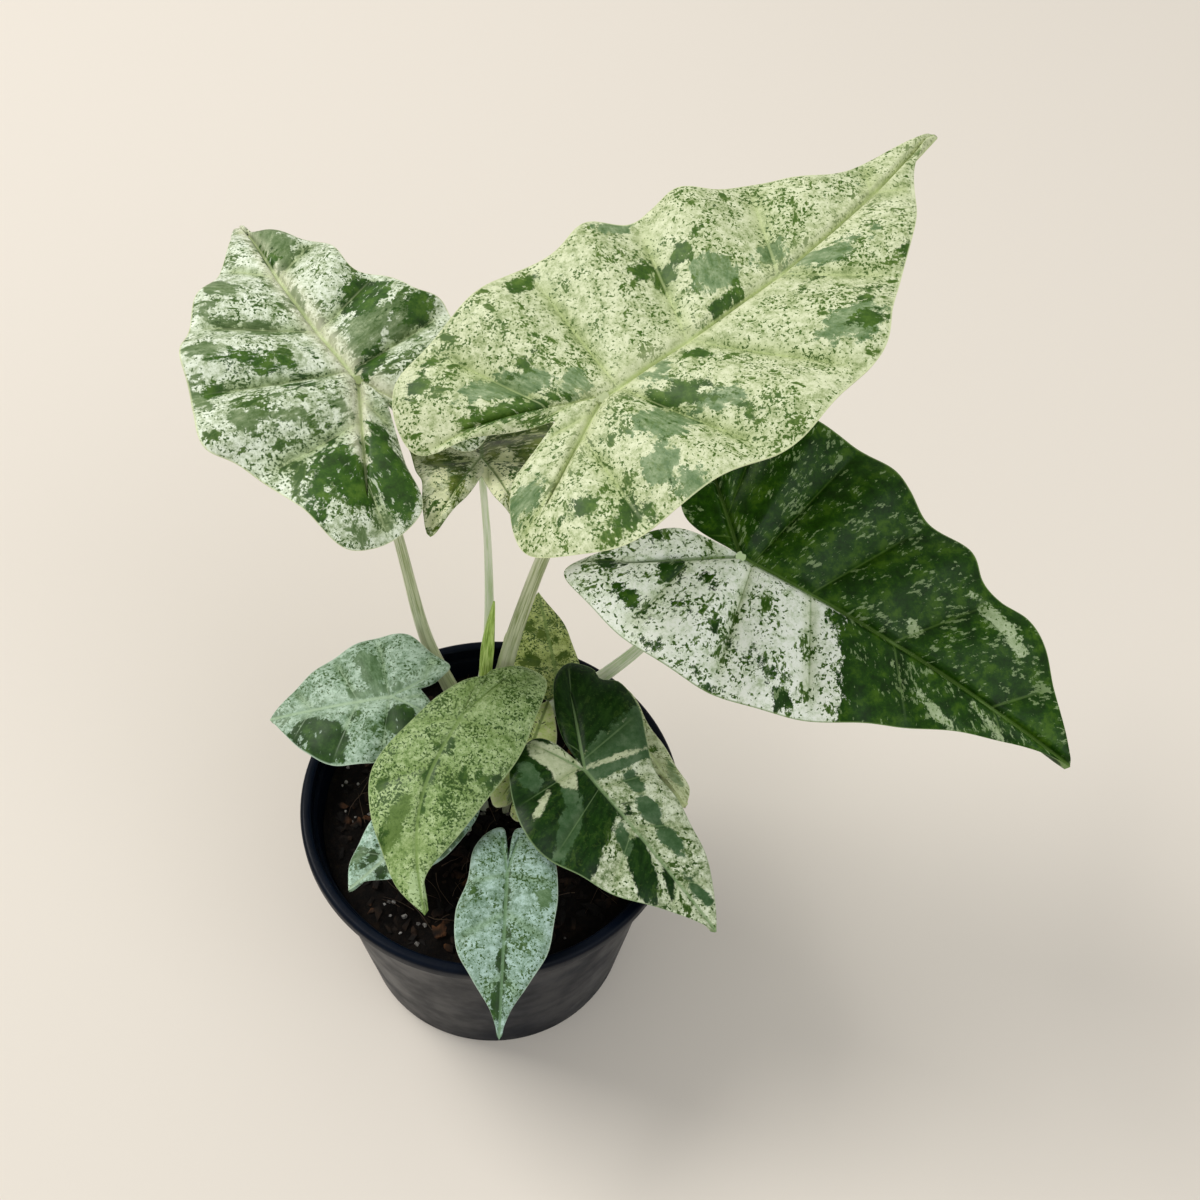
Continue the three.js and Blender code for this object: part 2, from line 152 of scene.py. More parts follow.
DRAIN_CIRCLE = 0.042
DRAIN_COUNT = 6
POT_SIDES = 144


def add_node(tree, kind, inputs=None, **settings):
    """A shader node. Its inputs are given by name or number, each as a value or a socket to join."""
    made = tree.nodes.new("ShaderNode" + kind)
    for name, value in settings.items():
        setattr(made, name, value)
    fill(tree, made, inputs or {})
    return made


def place_of(tree, stretch=(1, 1, 1), turn=(0, 0, 0)):
    """The point on the piece in metres, which may be stretched to make grain."""
    coordinates = add_node(tree, "TexCoord").outputs["Object"]
    mapping = {"Vector": coordinates, "Scale": stretch, "Rotation": turn}
    return add_node(tree, "Mapping", mapping).outputs["Vector"]


def noise(tree, place, size, detail=2.0, roughness=0.5, distortion=0.0):
    """Cloudy noise from 0 to 1 whose lumps are about size metres across."""
    inputs = {"Vector": place, "Scale": 1 / size, "Detail": detail, "Roughness": roughness}
    inputs["Distortion"] = distortion
    return add_node(tree, "TexNoise", inputs).outputs[0]


def ramp(tree, value, low, high, start=0.0, end=1.0):
    """A smooth step from start to end as the value goes from low to high."""
    inputs = {"Value": value, "From Min": low, "From Max": high, "To Min": start, "To Max": end}
    return add_node(tree, "MapRange", inputs, interpolation_type="SMOOTHSTEP").outputs["Result"]


def mix(tree, share, first, second, blend="MIX"):
    inputs = {0: share, 6: first, 7: second}
    return add_node(tree, "Mix", inputs, data_type="RGBA", blend_type=blend).outputs[2]


def bump(tree, height, strength, distance):
    inputs = {"Height": height, "Strength": strength, "Distance": distance}
    return add_node(tree, "Bump", inputs).outputs["Normal"]


def active(piece):
    """Selects one piece alone, for the operators that follow."""
    deselect()
    piece.select_set(True)
    bpy.context.view_layer.objects.active = piece


def piece_from(name, points, faces=(), edges=()):
    mesh = bpy.data.meshes.new(name)
    mesh.from_pydata([tuple(p) for p in points], edges, faces)
    piece = bpy.data.objects.new(name, mesh)
    scene.collection.objects.link(piece)
    return piece


def settle(piece, finishes, slot, *nodes):
    """Puts on the finishes. The piece moves with the plant and stands for the nodes."""
    for material in finishes:
        piece.data.materials.append(material)
    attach(piece, "root")
    if nodes:
        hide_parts(*nodes)


def wall_radius(z):
    share = z / (POT_HEIGHT - RIM_HEIGHT)
    return POT_BASE_RADIUS + (POT_NECK_RADIUS - POT_BASE_RADIUS) * share


def arc(centre_r, centre_z, radius, start, end, steps=5):
    """Points of a round corner in the pot's section, between two angles in degrees."""
    angles = [math.radians(start + (end - start) * i / steps) for i in range(steps + 1)]
    return [(centre_r + radius * math.cos(a), centre_z + radius * math.sin(a)) for a in angles]


under_rim = POT_HEIGHT - RIM_HEIGHT
neck = wall_radius(under_rim)
ledge = neck - POT_WALL
rim_inner = POT_RIM_RADIUS - RIM_WIDTH
foot_inner = POT_BASE_RADIUS - FOOT_WIDTH
floor_corner = wall_radius(POT_FLOOR) - POT_WALL - FLOOR_ROUND
pot_section = [
    (0, FOOT_LIFT), (foot_inner, FOOT_LIFT), (foot_inner + FOOT_ROUND, 0),
    *arc(POT_BASE_RADIUS - FOOT_ROUND, FOOT_ROUND, FOOT_ROUND, -90, 10),
    *[(wall_radius(z), z) for z in (0.04, 0.08, under_rim - 0.001)],
    (neck + CORNER_EASE, under_rim - CORNER_EASE / 2),
    (POT_RIM_RADIUS - 1.5 * RIM_UNDER_ROUND, under_rim),
    *arc(POT_RIM_RADIUS - RIM_UNDER_ROUND, under_rim + RIM_UNDER_ROUND, RIM_UNDER_ROUND, -80, 0, 3),
    *arc(POT_RIM_RADIUS - RIM_ROUND, POT_HEIGHT - RIM_ROUND, RIM_ROUND, 0, 90, 7),
    *arc(rim_inner + RIM_INNER_ROUND, POT_HEIGHT - RIM_INNER_ROUND, RIM_INNER_ROUND, 90, 180),
    (rim_inner, under_rim + 0.001),
    (rim_inner - CORNER_EASE / 2, under_rim + CORNER_EASE * 0.75),
    (ledge, under_rim), (ledge - CORNER_EASE / 2, under_rim - CORNER_EASE),
    (wall_radius(0.05) - POT_WALL, 0.05),
    *reversed(arc(floor_corner, POT_FLOOR + FLOOR_ROUND, FLOOR_ROUND, -90, 0)),
    (0, POT_FLOOR),
]
section_edges = [(i, i + 1) for i in range(len(pot_section) - 1)]
pot = piece_from("nursery_pot", [(r, 0, z) for r, z in pot_section], edges=section_edges)
active(pot)
bpy.ops.object.mode_set(mode="EDIT")
bpy.ops.mesh.select_all(action="SELECT")
bpy.ops.mesh.spin(steps=POT_SIDES, angle=2 * math.pi, center=(0, 0, 0), axis=(0, 0, 1))
bpy.ops.mesh.select_all(action="SELECT")
bpy.ops.mesh.remove_doubles(threshold=0.00001)
bpy.ops.mesh.normals_make_consistent(inside=False)
bpy.ops.object.mode_set(mode="OBJECT")

drills = []
for i in range(DRAIN_COUNT):
    angle = math.tau * (i + 0.5) / DRAIN_COUNT
    spot = (DRAIN_CIRCLE * math.cos(angle), DRAIN_CIRCLE * math.sin(angle), 0)
    deselect()
    bpy.ops.mesh.primitive_cylinder_add(vertices=32, radius=DRAIN_RADIUS, depth=0.02, location=spot)
    drills.append(bpy.context.object)
active(drills[0])
for drill in drills:
    drill.select_set(True)
bpy.ops.object.join()
drill = bpy.context.object
active(pot)
cut = pot.modifiers.new("drain_holes", "BOOLEAN")
cut.object = drill
cut.solver = "EXACT"
bpy.ops.object.modifier_apply(modifier=cut.name)
bpy.data.objects.remove(drill)
bpy.ops.object.shade_smooth_by_angle(angle=math.radians(38))

pot_plastic, tree, shader = new_material("pot_plastic")
spot = place_of(tree)
smudge = ramp(tree, noise(tree, spot, 0.03, 4, 0.6, 0.4), 0.45, 0.8)
grain = noise(tree, place_of(tree, (1, 1, 0.12)), 0.0012, 3, 0.6)
dust = ramp(tree, noise(tree, spot, 0.004, 4, 0.7), 0.58, 0.82, 0, 0.25)
tone = mix(tree, smudge, paint(3, 9, 21), paint(6, 16, 30))
tone = mix(tree, dust, tone, paint(30, 37, 44))
rough = ramp(tree, noise(tree, spot, 0.02, 3, 0.6), 0.3, 0.75, 0.3, 0.5)
set_inputs(tree, shader, Base_Color=tone, Roughness=rough, Specular_IOR_Level=0.09)
set_inputs(tree, shader, Normal=bump(tree, grain, 0.25, 0.0002))
settle(pot, [pot_plastic], "pot", "pot")


# The potting soil: a firm plug of dark peat and bark that fills the pot, lumpy on top, with loose
# bark chips, white grains of perlite and fine roots lying half sunk in it.
SOIL_LEVEL = 0.098
SOIL_SIDE_GAP = 0.00045
SOIL_FLOOR_GAP = 0.0003
SOIL_FOOT_ROUND = 0.003
SOIL_FOOT_INSET = 0.0026
SOIL_SIDES = 160
SOIL_RINGS = 46
CHIP_COUNT = 520
CHIP_SIZE = (0.0075, 0.004, 0.0022)
PERLITE_COUNT = 150
PERLITE_SIZE = (0.002, 0.0018, 0.0016)
LUMP_CLEARANCE = 0.004  # that chips and grains keep from the pot's wall
FIBRE_COUNT = 90
FIBRE_LENGTHS = (0.006, 0.018)
FIBRE_RADII = (0.00012, 0.00022)
FIBRE_CLEARANCE = 0.012
FIBRE_STEPS = 5


def soil_height(x, y):
    """The lumps that the solid soil has, with finer crumbs on top of them."""
    broad = math.sin(230 * x + 1) * math.cos(190 * y) + 0.7 * math.sin(410 * x - 370 * y)
    crumbs = math.sin(1900 * x + 700 * y) * math.sin(1700 * y - 500 * x + 2)
    small = math.sin(3900 * x - 2100 * y + 1) * math.sin(3300 * y + 2300 * x)
    return SOIL_LEVEL + 0.00078 * broad + 0.0005 * crumbs + 0.00035 * small


def soil_side(z):
    return wall_radius(z) - POT_WALL - SOIL_SIDE_GAP


def ring_faces(rings, sides):
    """The quads between rings of points that follow each other along a piece."""
    faces = []
    for i in range(rings - 1):
        for k in range(sides):
            a, b = i * sides + k, i * sides + (k + 1) % sides
            faces.append((a, b, b + sides, a + sides))
    return faces


soil_low = POT_FLOOR + SOIL_FLOOR_GAP
foot_top = soil_low + SOIL_FOOT_ROUND
rings = [(soil_side(soil_low) - SOIL_FOOT_INSET, soil_low), (soil_side(foot_top), foot_top)]
rings += [(soil_side(z), z) for z in (0.03, 0.06, 0.09)]
rings += [(soil_side(SOIL_LEVEL) * (1 - i / SOIL_RINGS), None) for i in range(SOIL_RINGS)]
soil_points = []
for radius, level in rings:
    for k in range(SOIL_SIDES):
        x, y = radius * math.cos(math.tau * k / SOIL_SIDES), radius * math.sin(math.tau * k / SOIL_SIDES)
        soil_points.append((x, y, soil_height(x, y) if level is None else level))
last_ring = len(soil_points) - SOIL_SIDES
soil_points.append((0, 0, soil_height(0, 0)))
soil_faces = [*ring_faces(len(rings), SOIL_SIDES), tuple(range(SOIL_SIDES - 1, -1, -1))]
soil_faces += [(last_ring + k, last_ring + (k + 1) % SOIL_SIDES, last_ring + SOIL_SIDES)
               for k in range(SOIL_SIDES)]
soil = piece_from("soil_bed", soil_points, soil_faces)
active(soil)
bpy.ops.object.shade_smooth_by_angle(angle=math.radians(60))

soil_earth, tree, shader = new_material("soil_earth")
spot = place_of(tree)
crumb = noise(tree, spot, 0.0022, 6, 0.75)
tone = mix(tree, ramp(tree, crumb, 0.4, 0.72), paint(7, 5, 4), paint(26, 18, 12))
tone = mix(tree, ramp(tree, noise(tree, spot, 0.012, 3, 0.6), 0.55, 0.7, 0, 0.5), tone, paint(42, 30, 19))
set_inputs(tree, shader, Base_Color=tone, Roughness=0.95, Specular_IOR_Level=0.2)
set_inputs(tree, shader, Normal=bump(tree, crumb, 0.9, 0.0012))
settle(soil, [soil_earth], "soil", "soil")


def scatter(draw, clearance):
    """A random spot on the soil, with some clearance to the pot's wall."""
    radius = (soil_side(SOIL_LEVEL) - clearance) * math.sqrt(draw.random())
    angle = draw.uniform(0, math.tau)
    return radius * math.cos(angle), radius * math.sin(angle)


def joined(name, meshes):
    """One piece from several small meshes."""
    whole = bpy.data.meshes.new(name)
    merged = bmesh.new()
    for mesh in meshes:
        merged.from_mesh(mesh)
        bpy.data.meshes.remove(mesh)
    merged.to_mesh(whole)
    merged.free()
    piece = bpy.data.objects.new(name, whole)
    scene.collection.objects.link(piece)
    return piece


def lump(draw, size, corners):
    """A broken lump: the hull of a few random corners in a box of that size."""
    shape = bmesh.new()
    for _ in range(corners):
        spot = Vector([draw.gauss(0, 1) for _ in range(3)]).normalized()
        spot *= draw.uniform(0.75, 1.1)
        shape.verts.new([spot[axis] * size[axis] / 2 for axis in range(3)])
    hull = bmesh.ops.convex_hull(shape, input=shape.verts)
    inside = [v for v in hull["geom_interior"] if isinstance(v, bmesh.types.BMVert)]
    bmesh.ops.delete(shape, geom=inside, context="VERTS")
    bmesh.ops.recalc_face_normals(shape, faces=shape.faces)
    mesh = bpy.data.meshes.new("lump")
    shape.to_mesh(mesh)
    shape.free()
    return mesh


def strewn(name, draw, count, sizes, corners, sink):
    """Many lumps lying on the soil, each turned at random and sunk by a share of its height."""
    meshes = []
    for _ in range(count):
        scale = draw.uniform(0.55, 1.0) if draw.random() < 0.8 else draw.uniform(1.0, 1.6)
        size = [side * scale * draw.uniform(0.8, 1.2) for side in sizes]
        mesh = lump(draw, size, corners)
        x, y = scatter(draw, LUMP_CLEARANCE)
        lean = Matrix.Rotation(draw.uniform(-0.4, 0.4), 4, "X")
        lean @= Matrix.Rotation(draw.uniform(-0.4, 0.4), 4, "Y")
        turn = Matrix.Rotation(draw.uniform(0, math.tau), 4, "Z")
        height = soil_height(x, y) + size[2] * (0.5 - sink)
        mesh.transform(Matrix.Translation((x, y, height)) @ turn @ lean)
        meshes.append(mesh)
    return joined(name, meshes)


chips = strewn("bark_chips", random.Random(11), CHIP_COUNT, CHIP_SIZE, 11, 0.35)
bark, tree, shader = new_material("bark")
spot = place_of(tree)
grain = noise(tree, place_of(tree, (1, 0.25, 1), (0, 0, 0.6)), 0.0009, 4, 0.65)
tone = mix(tree, ramp(tree, noise(tree, spot, 0.009, 2), 0.42, 0.66), paint(14, 10, 7), paint(52, 36, 23))
tone = mix(tree, ramp(tree, noise(tree, spot, 0.016, 2), 0.59, 0.7), tone, paint(108, 70, 42))
tone = mix(tree, ramp(tree, grain, 0.35, 0.7), mix(tree, 0.6, tone, paint(12, 8, 7)), tone)
set_inputs(tree, shader, Base_Color=tone, Roughness=0.85, Specular_IOR_Level=0.25)
set_inputs(tree, shader, Normal=bump(tree, grain, 0.6, 0.0005))
settle(chips, [bark], "soil")

perlite = strewn("perlite_grains", random.Random(5), PERLITE_COUNT, PERLITE_SIZE, 22, 0.25)
perlite_white, tree, shader = new_material("perlite_white")
spot = place_of(tree)
pit = noise(tree, spot, 0.0005, 4, 0.7)
shade = ramp(tree, noise(tree, spot, 0.002, 3), 0.4, 0.62)
tone = mix(tree, shade, paint(90, 86, 82), paint(168, 165, 160))
set_inputs(tree, shader, Base_Color=tone, Roughness=0.8, Normal=bump(tree, pit, 0.7, 0.0003))
settle(perlite, [perlite_white], "soil")


def bend_between(start, end, leave, arrive, steps):
    """Points on a cubic curve from start to just before end."""
    points = []
    for k in range(steps):
        t = k / steps
        bend = (2 * start - 2 * end + leave + arrive) * t ** 3
        bend += (3 * end - 3 * start - 2 * leave - arrive) * t ** 2
        points.append(bend + leave * t + start)
    return points


def evenly(dense, steps):
    """The points at equal distances along a polyline."""
    lengths = [0, *accumulate((q - p).length for p, q in zip(dense, dense[1:]))]
    result = []
    k = 0
    for i in range(steps + 1):
        wanted = lengths[-1] * i / steps
        while k < len(dense) - 2 and lengths[k + 1] < wanted:
            k += 1
        share = (wanted - lengths[k]) / max(lengths[k + 1] - lengths[k], 1e-12)
        result.append(dense[k].lerp(dense[k + 1], min(share, 1)))
    return result


def smooth_route(points, steps):
    """Evenly spaced points on a smooth curve through the given ones, with the bends kept close."""
    ends = [points[0] * 2 - points[1], *points, points[-1] * 2 - points[-2]]
    dense = []
    for i in range(1, len(ends) - 2):
        before, start, end, after = ends[i - 1:i + 3]
        in_span, span, out_span = ((q - p).length ** 0.5 for p, q in zip(ends[i - 1:], ends[i:i + 3]))
        leave = (start - before) / in_span - (end - before) / (in_span + span) + (end - start) / span
        arrive = (end - start) / span - (after - start) / (span + out_span) + (after - end) / out_span
        dense += bend_between(start, end, leave * span, arrive * span, 40)
    return evenly([*dense, points[-1]], steps)


def swept(name, route, radius_at, sides):
    """A bar of changing section along a route. radius_at is given the way along and the angle."""
    points = []
    last = len(route) - 1
    ahead = (route[1] - route[0]).normalized()
    normal = ahead.orthogonal().normalized()
    for i, centre in enumerate(route):
        ahead = (route[min(i + 1, last)] - route[max(i - 1, 0)]).normalized()
        normal = (normal - ahead * normal.dot(ahead)).normalized()
        side = ahead.cross(normal)
        for k in range(sides):
            angle = math.tau * k / sides
            radius = radius_at(i / last, angle)
            points.append(centre + normal * radius * math.cos(angle) + side * radius * math.sin(angle))
    faces = [tuple(range(sides - 1, -1, -1)), tuple(range(last * sides, (last + 1) * sides))]
    faces += ring_faces(last + 1, sides)
    loops = [(0, 0)] * sides + [(0, 1)] * sides
    for i in range(last):
        for k in range(sides):
            near, far = k / sides, (k + 1) / sides
            loops += [(near, i / last), (far, i / last), (far, (i + 1) / last), (near, (i + 1) / last)]
    piece = piece_from(name, points, faces)
    around = piece.data.uv_layers.new(name="around")
    around.data.foreach_set("uv", [value for pair in loops for value in pair])
    active(piece)
    bpy.ops.object.shade_smooth_by_angle(angle=math.radians(50))
    return piece


draw = random.Random(8)
strands = []
for _ in range(FIBRE_COUNT):
    x, y = scatter(draw, FIBRE_CLEARANCE)
    heading = draw.uniform(0, math.tau)
    length = draw.uniform(*FIBRE_LENGTHS)
    curl = draw.uniform(-1.2, 1.2)
    route = []
    for i in range(FIBRE_STEPS + 1):
        way = i / FIBRE_STEPS
        turn = heading + curl * way
        lift = 0.0006 + 0.0012 * math.sin(math.pi * way)
        route.append(Vector((x, y, soil_height(x, y) + lift)))
        x += length / FIBRE_STEPS * math.cos(turn)
        y += length / FIBRE_STEPS * math.sin(turn)
    thin = draw.uniform(*FIBRE_RADII)
    strand = swept("strand", route, lambda way, angle: thin * (1 - 0.6 * way), 5)
    strands.append(strand.data.copy())
    bpy.data.objects.remove(strand)
fibres = joined("root_fibres", strands)
root_tan, tree, shader = new_material("root_tan")
tone = noise(tree, place_of(tree), 0.006)
set_inputs(tree, shader, Base_Color=mix(tree, tone, paint(40, 28, 19), paint(96, 78, 58)), Roughness=0.8)
settle(fibres, [root_tan], "soil")


# Leaf 1, the largest: a cream blade flecked with green on the thickest stalk, at the back right.
# The blade is a thin sheet, sunk along its veins and puffed between them, with a waved margin.
# The stalk is a juicy round stem that broadens into a sheath in the soil.
BLADE_THICKNESS = 0.0009  # of the solid blade, whose upper face this one keeps
MIDRIB_THICKNESS = 0.002
SHEET_SHARE = 0.36  # of the midrib's thickness, which the sheet has between its veins
MIDRIB_WIDTH = 0.0016
KEEL_WIDTH = 0.0015  # of the groove above the midrib
VEIN_SPACING = 0.04  # roughly, between the side veins of a large leaf
VEIN_RIB_WIDTH = 0.0009
VEIN_RIB_SHARE = 0.35  # of the midrib's depth, which a side vein has under the blade
EDGE_WIDTH = 0.0015  # of the band along the margin that thins out
EDGE_THINNING = 0.35
MARGIN_CURL = 0.0022  # how far the very edge turns down
MAIN_SHARE = 0.6  # of the way round a half that runs beside the midrib, before the lobe begins
LOBE_SHARE = 0.2  # on each side of the lobe's rib
VEIN_LEAN = 1.5  # over 1, the side veins slant towards the tip
RIB_REACH = 0.7  # how far the lobe's rib goes towards the back of the lobe
VEIN_TROUGH = 0.75  # where each wave of the margin has its trough, which is where a vein ends
COLUMN_CROWDING = 1.25  # over 1, the columns of the mesh stand closer together beside the midrib
OUTLINE_STEPS = 1200
LEFT, RIGHT = 1, -1  # the halves of a blade, seen from above with the tip ahead
PATCH_KINDS = ("dark", "sage", "pale")
FIELD_REACH = 0.008  # how far from its edge a patch of colour is known
STALK_DEPTH = 0.012
STALK_TOP = 0.0053  # the straight end of a stalk, square to its blade
STALK_STEPS = 60
STALK_SIDES = 32


def smooth_outline(corners, steps):
    """Evenly spaced points on a smooth line through the corners of a margin."""
    last = len(corners) - 1
    dense = []
    for i in range(last):
        before, start, end, after = (corners[min(max(i + k, 0), last)] for k in (-1, 0, 1, 2))
        dense += bend_between(start, end, (end - before) / 2, (after - start) / 2, 30)
    return evenly([*dense, corners[-1]], steps)


def blade_axes(leaf):
    """Along the midrib, across to the leaf's left, and up out of its face."""
    heading, pitch, roll = (math.radians(leaf.get(name, 0)) for name in ("heading", "pitch", "roll"))
    level = math.cos(pitch)
    along = Vector((math.cos(heading) * level, math.sin(heading) * level, math.sin(pitch)))
    across = Vector((-math.sin(heading), math.cos(heading), 0))
    across.rotate(Matrix.Rotation(roll, 3, along))
    return along, across, along.cross(across)


def midrib_side(leaf, s):
    """How far the midrib bows to the left of a straight line."""
    return leaf.get("bow", 0) * math.sin(math.pi * s / leaf["length"]) if s > 0 else 0


def blade_height(leaf, s, w):
    """Height over the blade's plane: tip and lobes bend down, and the halves fold on the midrib."""
    if s > 0:
        bend = -leaf["tip_drop"] * (s / leaf["length"]) ** leaf.get("tip_power", 2)
    else:
        bend = -leaf["lobe_drop"] * (s / leaf["lobe"]) ** 2
    side = w - midrib_side(leaf, s)
    rise = leaf["rise"][0 if side > 0 else 1]
    return bend + rise * (abs(side) / leaf["half_width"]) ** 1.5


def vein_lines(leaf, side):
    """The rows of one half, each as its way round and its two ends, and the margin's length."""
    tip, joint, notch = Vector((leaf["length"], 0)), Vector((0, 0)), Vector(leaf["notch"])
    margin = [Vector(p) for p in leaf["left" if side == LEFT else "right"]]
    outline = smooth_outline([tip, *margin, notch], OUTLINE_STEPS)
    beside = next(i for i, p in enumerate(outline) if p.x < 0)
    back = min(range(OUTLINE_STEPS + 1), key=lambda i: outline[i].x)
    lobe_rib = outline[back] * RIB_REACH
    lines = []
    for i in range(leaf["rows"] + 1):
        way = i / leaf["rows"]
        if way <= MAIN_SHARE:
            share = way / MAIN_SHARE
            edge = outline[round(share * beside)]
            root = tip.lerp(joint, 1 - (1 - share) ** VEIN_LEAN)
            root.y = midrib_side(leaf, root.x)
        elif way <= MAIN_SHARE + LOBE_SHARE:
            share = (way - MAIN_SHARE) / LOBE_SHARE
            edge = outline[round(beside + share * (back - beside))]
            root = joint.lerp(lobe_rib, share)
        else:
            share = (way - MAIN_SHARE - LOBE_SHARE) / LOBE_SHARE
            edge = outline[round(back + share * (OUTLINE_STEPS - back))]
            root = lobe_rib.lerp(joint, min(share, 1))
        lines.append((way, root, edge))
    return lines, sum((q - p).length for p, q in zip(outline, outline[1:]))


def blade_half(leaf, side):
    """One half as rows of corners that run out along the side veins, from the tip to the notch."""
    lines, margin_length = vein_lines(leaf, side)
    waves, puff = leaf["waves"], leaf["puff"]
    rows = []
    for way, root, edge in lines:
        span = (edge - root).length
        breadth = min(1, span / leaf["half_width"])
        swing = max(math.sin(math.pi * way), 0) ** 0.5
        ripple = leaf["wave"] * math.sin(math.tau * waves * way) * swing
        from_vein = abs((way * waves - VEIN_TROUGH + 0.5) % 1 - 0.5)
        pillow = math.sin(math.pi * from_vein) ** 0.7 - 0.4
        row = []
        for j in range(leaf["columns"] + 1):
            reach = (j / leaf["columns"]) ** COLUMN_CROWDING
            flat = root.lerp(edge, reach)
            fade = math.sin(math.pi * min(1, reach * 1.02)) ** 0.6 * breadth
            height = blade_height(leaf, flat.x, flat.y) + ripple * reach ** 2 + puff * pillow * fade
            height -= puff * 0.5 * math.exp(-((reach * span / KEEL_WIDTH) ** 2))
            height -= MARGIN_CURL * breadth * reach ** 8
            row.append({
                "side": side, "way": way, "reach": reach, "span": span, "from_vein": from_vein,
                "s": flat.x, "w": flat.y, "height": height, "margin": margin_length,
                "veins": (way * waves, reach), "streaks": (way * margin_length + side, reach * span),
            })
        rows.append(row)
    return rows


def thickness_share(corner):
    """How thick the blade is at a corner, as a share of its thickness at the midrib."""
    reach, span = corner["reach"], corner["span"]
    off_vein = corner["from_vein"] * VEIN_SPACING * (0.4 + reach)
    rib = math.exp(-((reach * span / MIDRIB_WIDTH) ** 2))
    rib += VEIN_RIB_SHARE * math.exp(-((off_vein / VEIN_RIB_WIDTH) ** 2)) * (1 - reach)
    thinning = EDGE_THINNING * max(0, 1 - (1 - reach) * span / EDGE_WIDTH)
    return min(1, SHEET_SHARE * (1 - thinning) + (1 - SHEET_SHARE) * rib)


def blade_sheet(leaf):
    """The upper face: its points, the thickness at each, its faces and the corners of the faces."""
    along, across, up = blade_axes(leaf)
    joint = Vector(leaf["joint"])
    known, points, thickness, faces, corners = {}, [], [], [], []
    for side in (LEFT, RIGHT):
        rows = blade_half(leaf, side)
        for corner in chain(*rows):
            key = (round(corner["s"], 6), round(corner["w"], 6))
            if key not in known:
                known[key] = len(points)
                lift = corner["height"] + BLADE_THICKNESS / 2
                points.append(joint + along * corner["s"] + across * corner["w"] + up * lift)
                thickness.append(thickness_share(corner))
            corner["number"] = known[key]
        for near, far in zip(rows, rows[1:]):
            for j in range(leaf["columns"]):
                ring = [near[j], near[j + 1], far[j + 1], far[j]]
                if side == RIGHT:
                    ring.reverse()
                face = {}
                for corner in ring:
                    face.setdefault(corner["number"], corner)
                if len(face) > 2:
                    faces.append(list(face))
                    corners += face.values()
    return points, thickness, faces, corners


def oval(kind, s, w, long, short, turn=0):
    """A patch of colour centred s ahead of the joint and w to its left. long and short are its
    half length and half width, and turn is in degrees. Its depth at a corner is in metres."""
    angle = math.radians(turn)

    def depth(corner):
        ahead, aside = corner["s"] - s, corner["w"] - w
        x = ahead * math.cos(angle) + aside * math.sin(angle)
        y = aside * math.cos(angle) - ahead * math.sin(angle)
        return (1 - math.hypot(x / long, y / short)) * min(long, short)

    return kind, depth


def sector(kind, side, start, end):
    """A patch that takes in all of one half between two ways round it."""

    def depth(corner):
        if corner["side"] != side:
            return -FIELD_REACH
        across = corner["margin"] * (0.35 + 0.65 * corner["reach"])
        past_start = (corner["way"] - start) * across if start > 0 else FIELD_REACH
        before_end = (end - corner["way"]) * across if end < 1 else FIELD_REACH
        return min(FIELD_REACH, past_start, before_end)

    return kind, depth


dark, sage, pale = (partial(oval, kind) for kind in PATCH_KINDS)


def store_places(piece, corners, patches):
    """Keeps for each corner how deep it lies in each kind of patch, in the attribute's three colours."""
    values = []
    for corner in corners:
        for kind in PATCH_KINDS:
            depths = [depth(corner) for patch_kind, depth in patches if patch_kind == kind]
            values.append(min(1, max(0, 0.5 + max(depths, default=-FIELD_REACH) / (2 * FIELD_REACH))))
        values.append(1)
    places = piece.data.attributes.new("places", "FLOAT_COLOR", "CORNER")
    places.data.foreach_set("color", values)


def blade(name, leaf):
    """The upper face, given its thickness downwards, with its ribs underneath."""
    points, thickness, faces, corners = blade_sheet(leaf)
    piece = piece_from(name, points, faces)
    for layer in ("streaks", "veins"):
        made = piece.data.uv_layers.new(name=layer)
        made.data.foreach_set("uv", [value for corner in corners for value in corner[layer]])
    store_places(piece, corners, leaf["patches"])
    group = piece.vertex_groups.new(name="thickness")
    for number, share in enumerate(thickness):
        group.add([number], share, "REPLACE")
    active(piece)
    wall = piece.modifiers.new("thickness", "SOLIDIFY")
    wall.thickness = MIDRIB_THICKNESS
    wall.offset = -1
    wall.vertex_group = group.name
    wall.material_offset = 1
    bpy.ops.object.modifier_apply(modifier=wall.name)
    bpy.ops.object.shade_smooth_by_angle(angle=math.radians(60))
    return piece


def shades(*colours):
    return [paint(*colour) for colour in colours]


def math_node(tree, operation, first, second=0.0):
    return add_node(tree, "Math", {0: first, 1: second}, operation=operation).outputs[0]


def times(tree, first, second):
    return math_node(tree, "MULTIPLY", first, second)


def ramp_linear(tree, value, low, high, start, end):
    inputs = {"Value": value, "From Min": low, "From Max": high, "To Min": start, "To Max": end}
    return add_node(tree, "MapRange", inputs, clamp=False).outputs["Result"]


def tones(tree, value, colours, low=0.36, high=0.64):
    """A run of colours, evenly spaced from low to high."""
    made = add_node(tree, "ValToRGB", {"Fac": value})
    stops = made.color_ramp.elements
    for number, colour in enumerate(colours):
        place = low + (high - low) * number / (len(colours) - 1)
        stop = stops[number] if number < 2 else stops.new(place)
        stop.position = place
        stop.color = colour
    return made.outputs["Color"]


def uv_of(tree, name):
    return add_node(tree, "UVMap", uv_map=name).outputs["UV"]


def squeezed(tree, place, share):
    """A map with its second way squeezed, so that a pattern on it runs in streaks."""
    return add_node(tree, "Mapping", {"Vector": place, "Scale": (1, share, 1)}).outputs["Vector"]


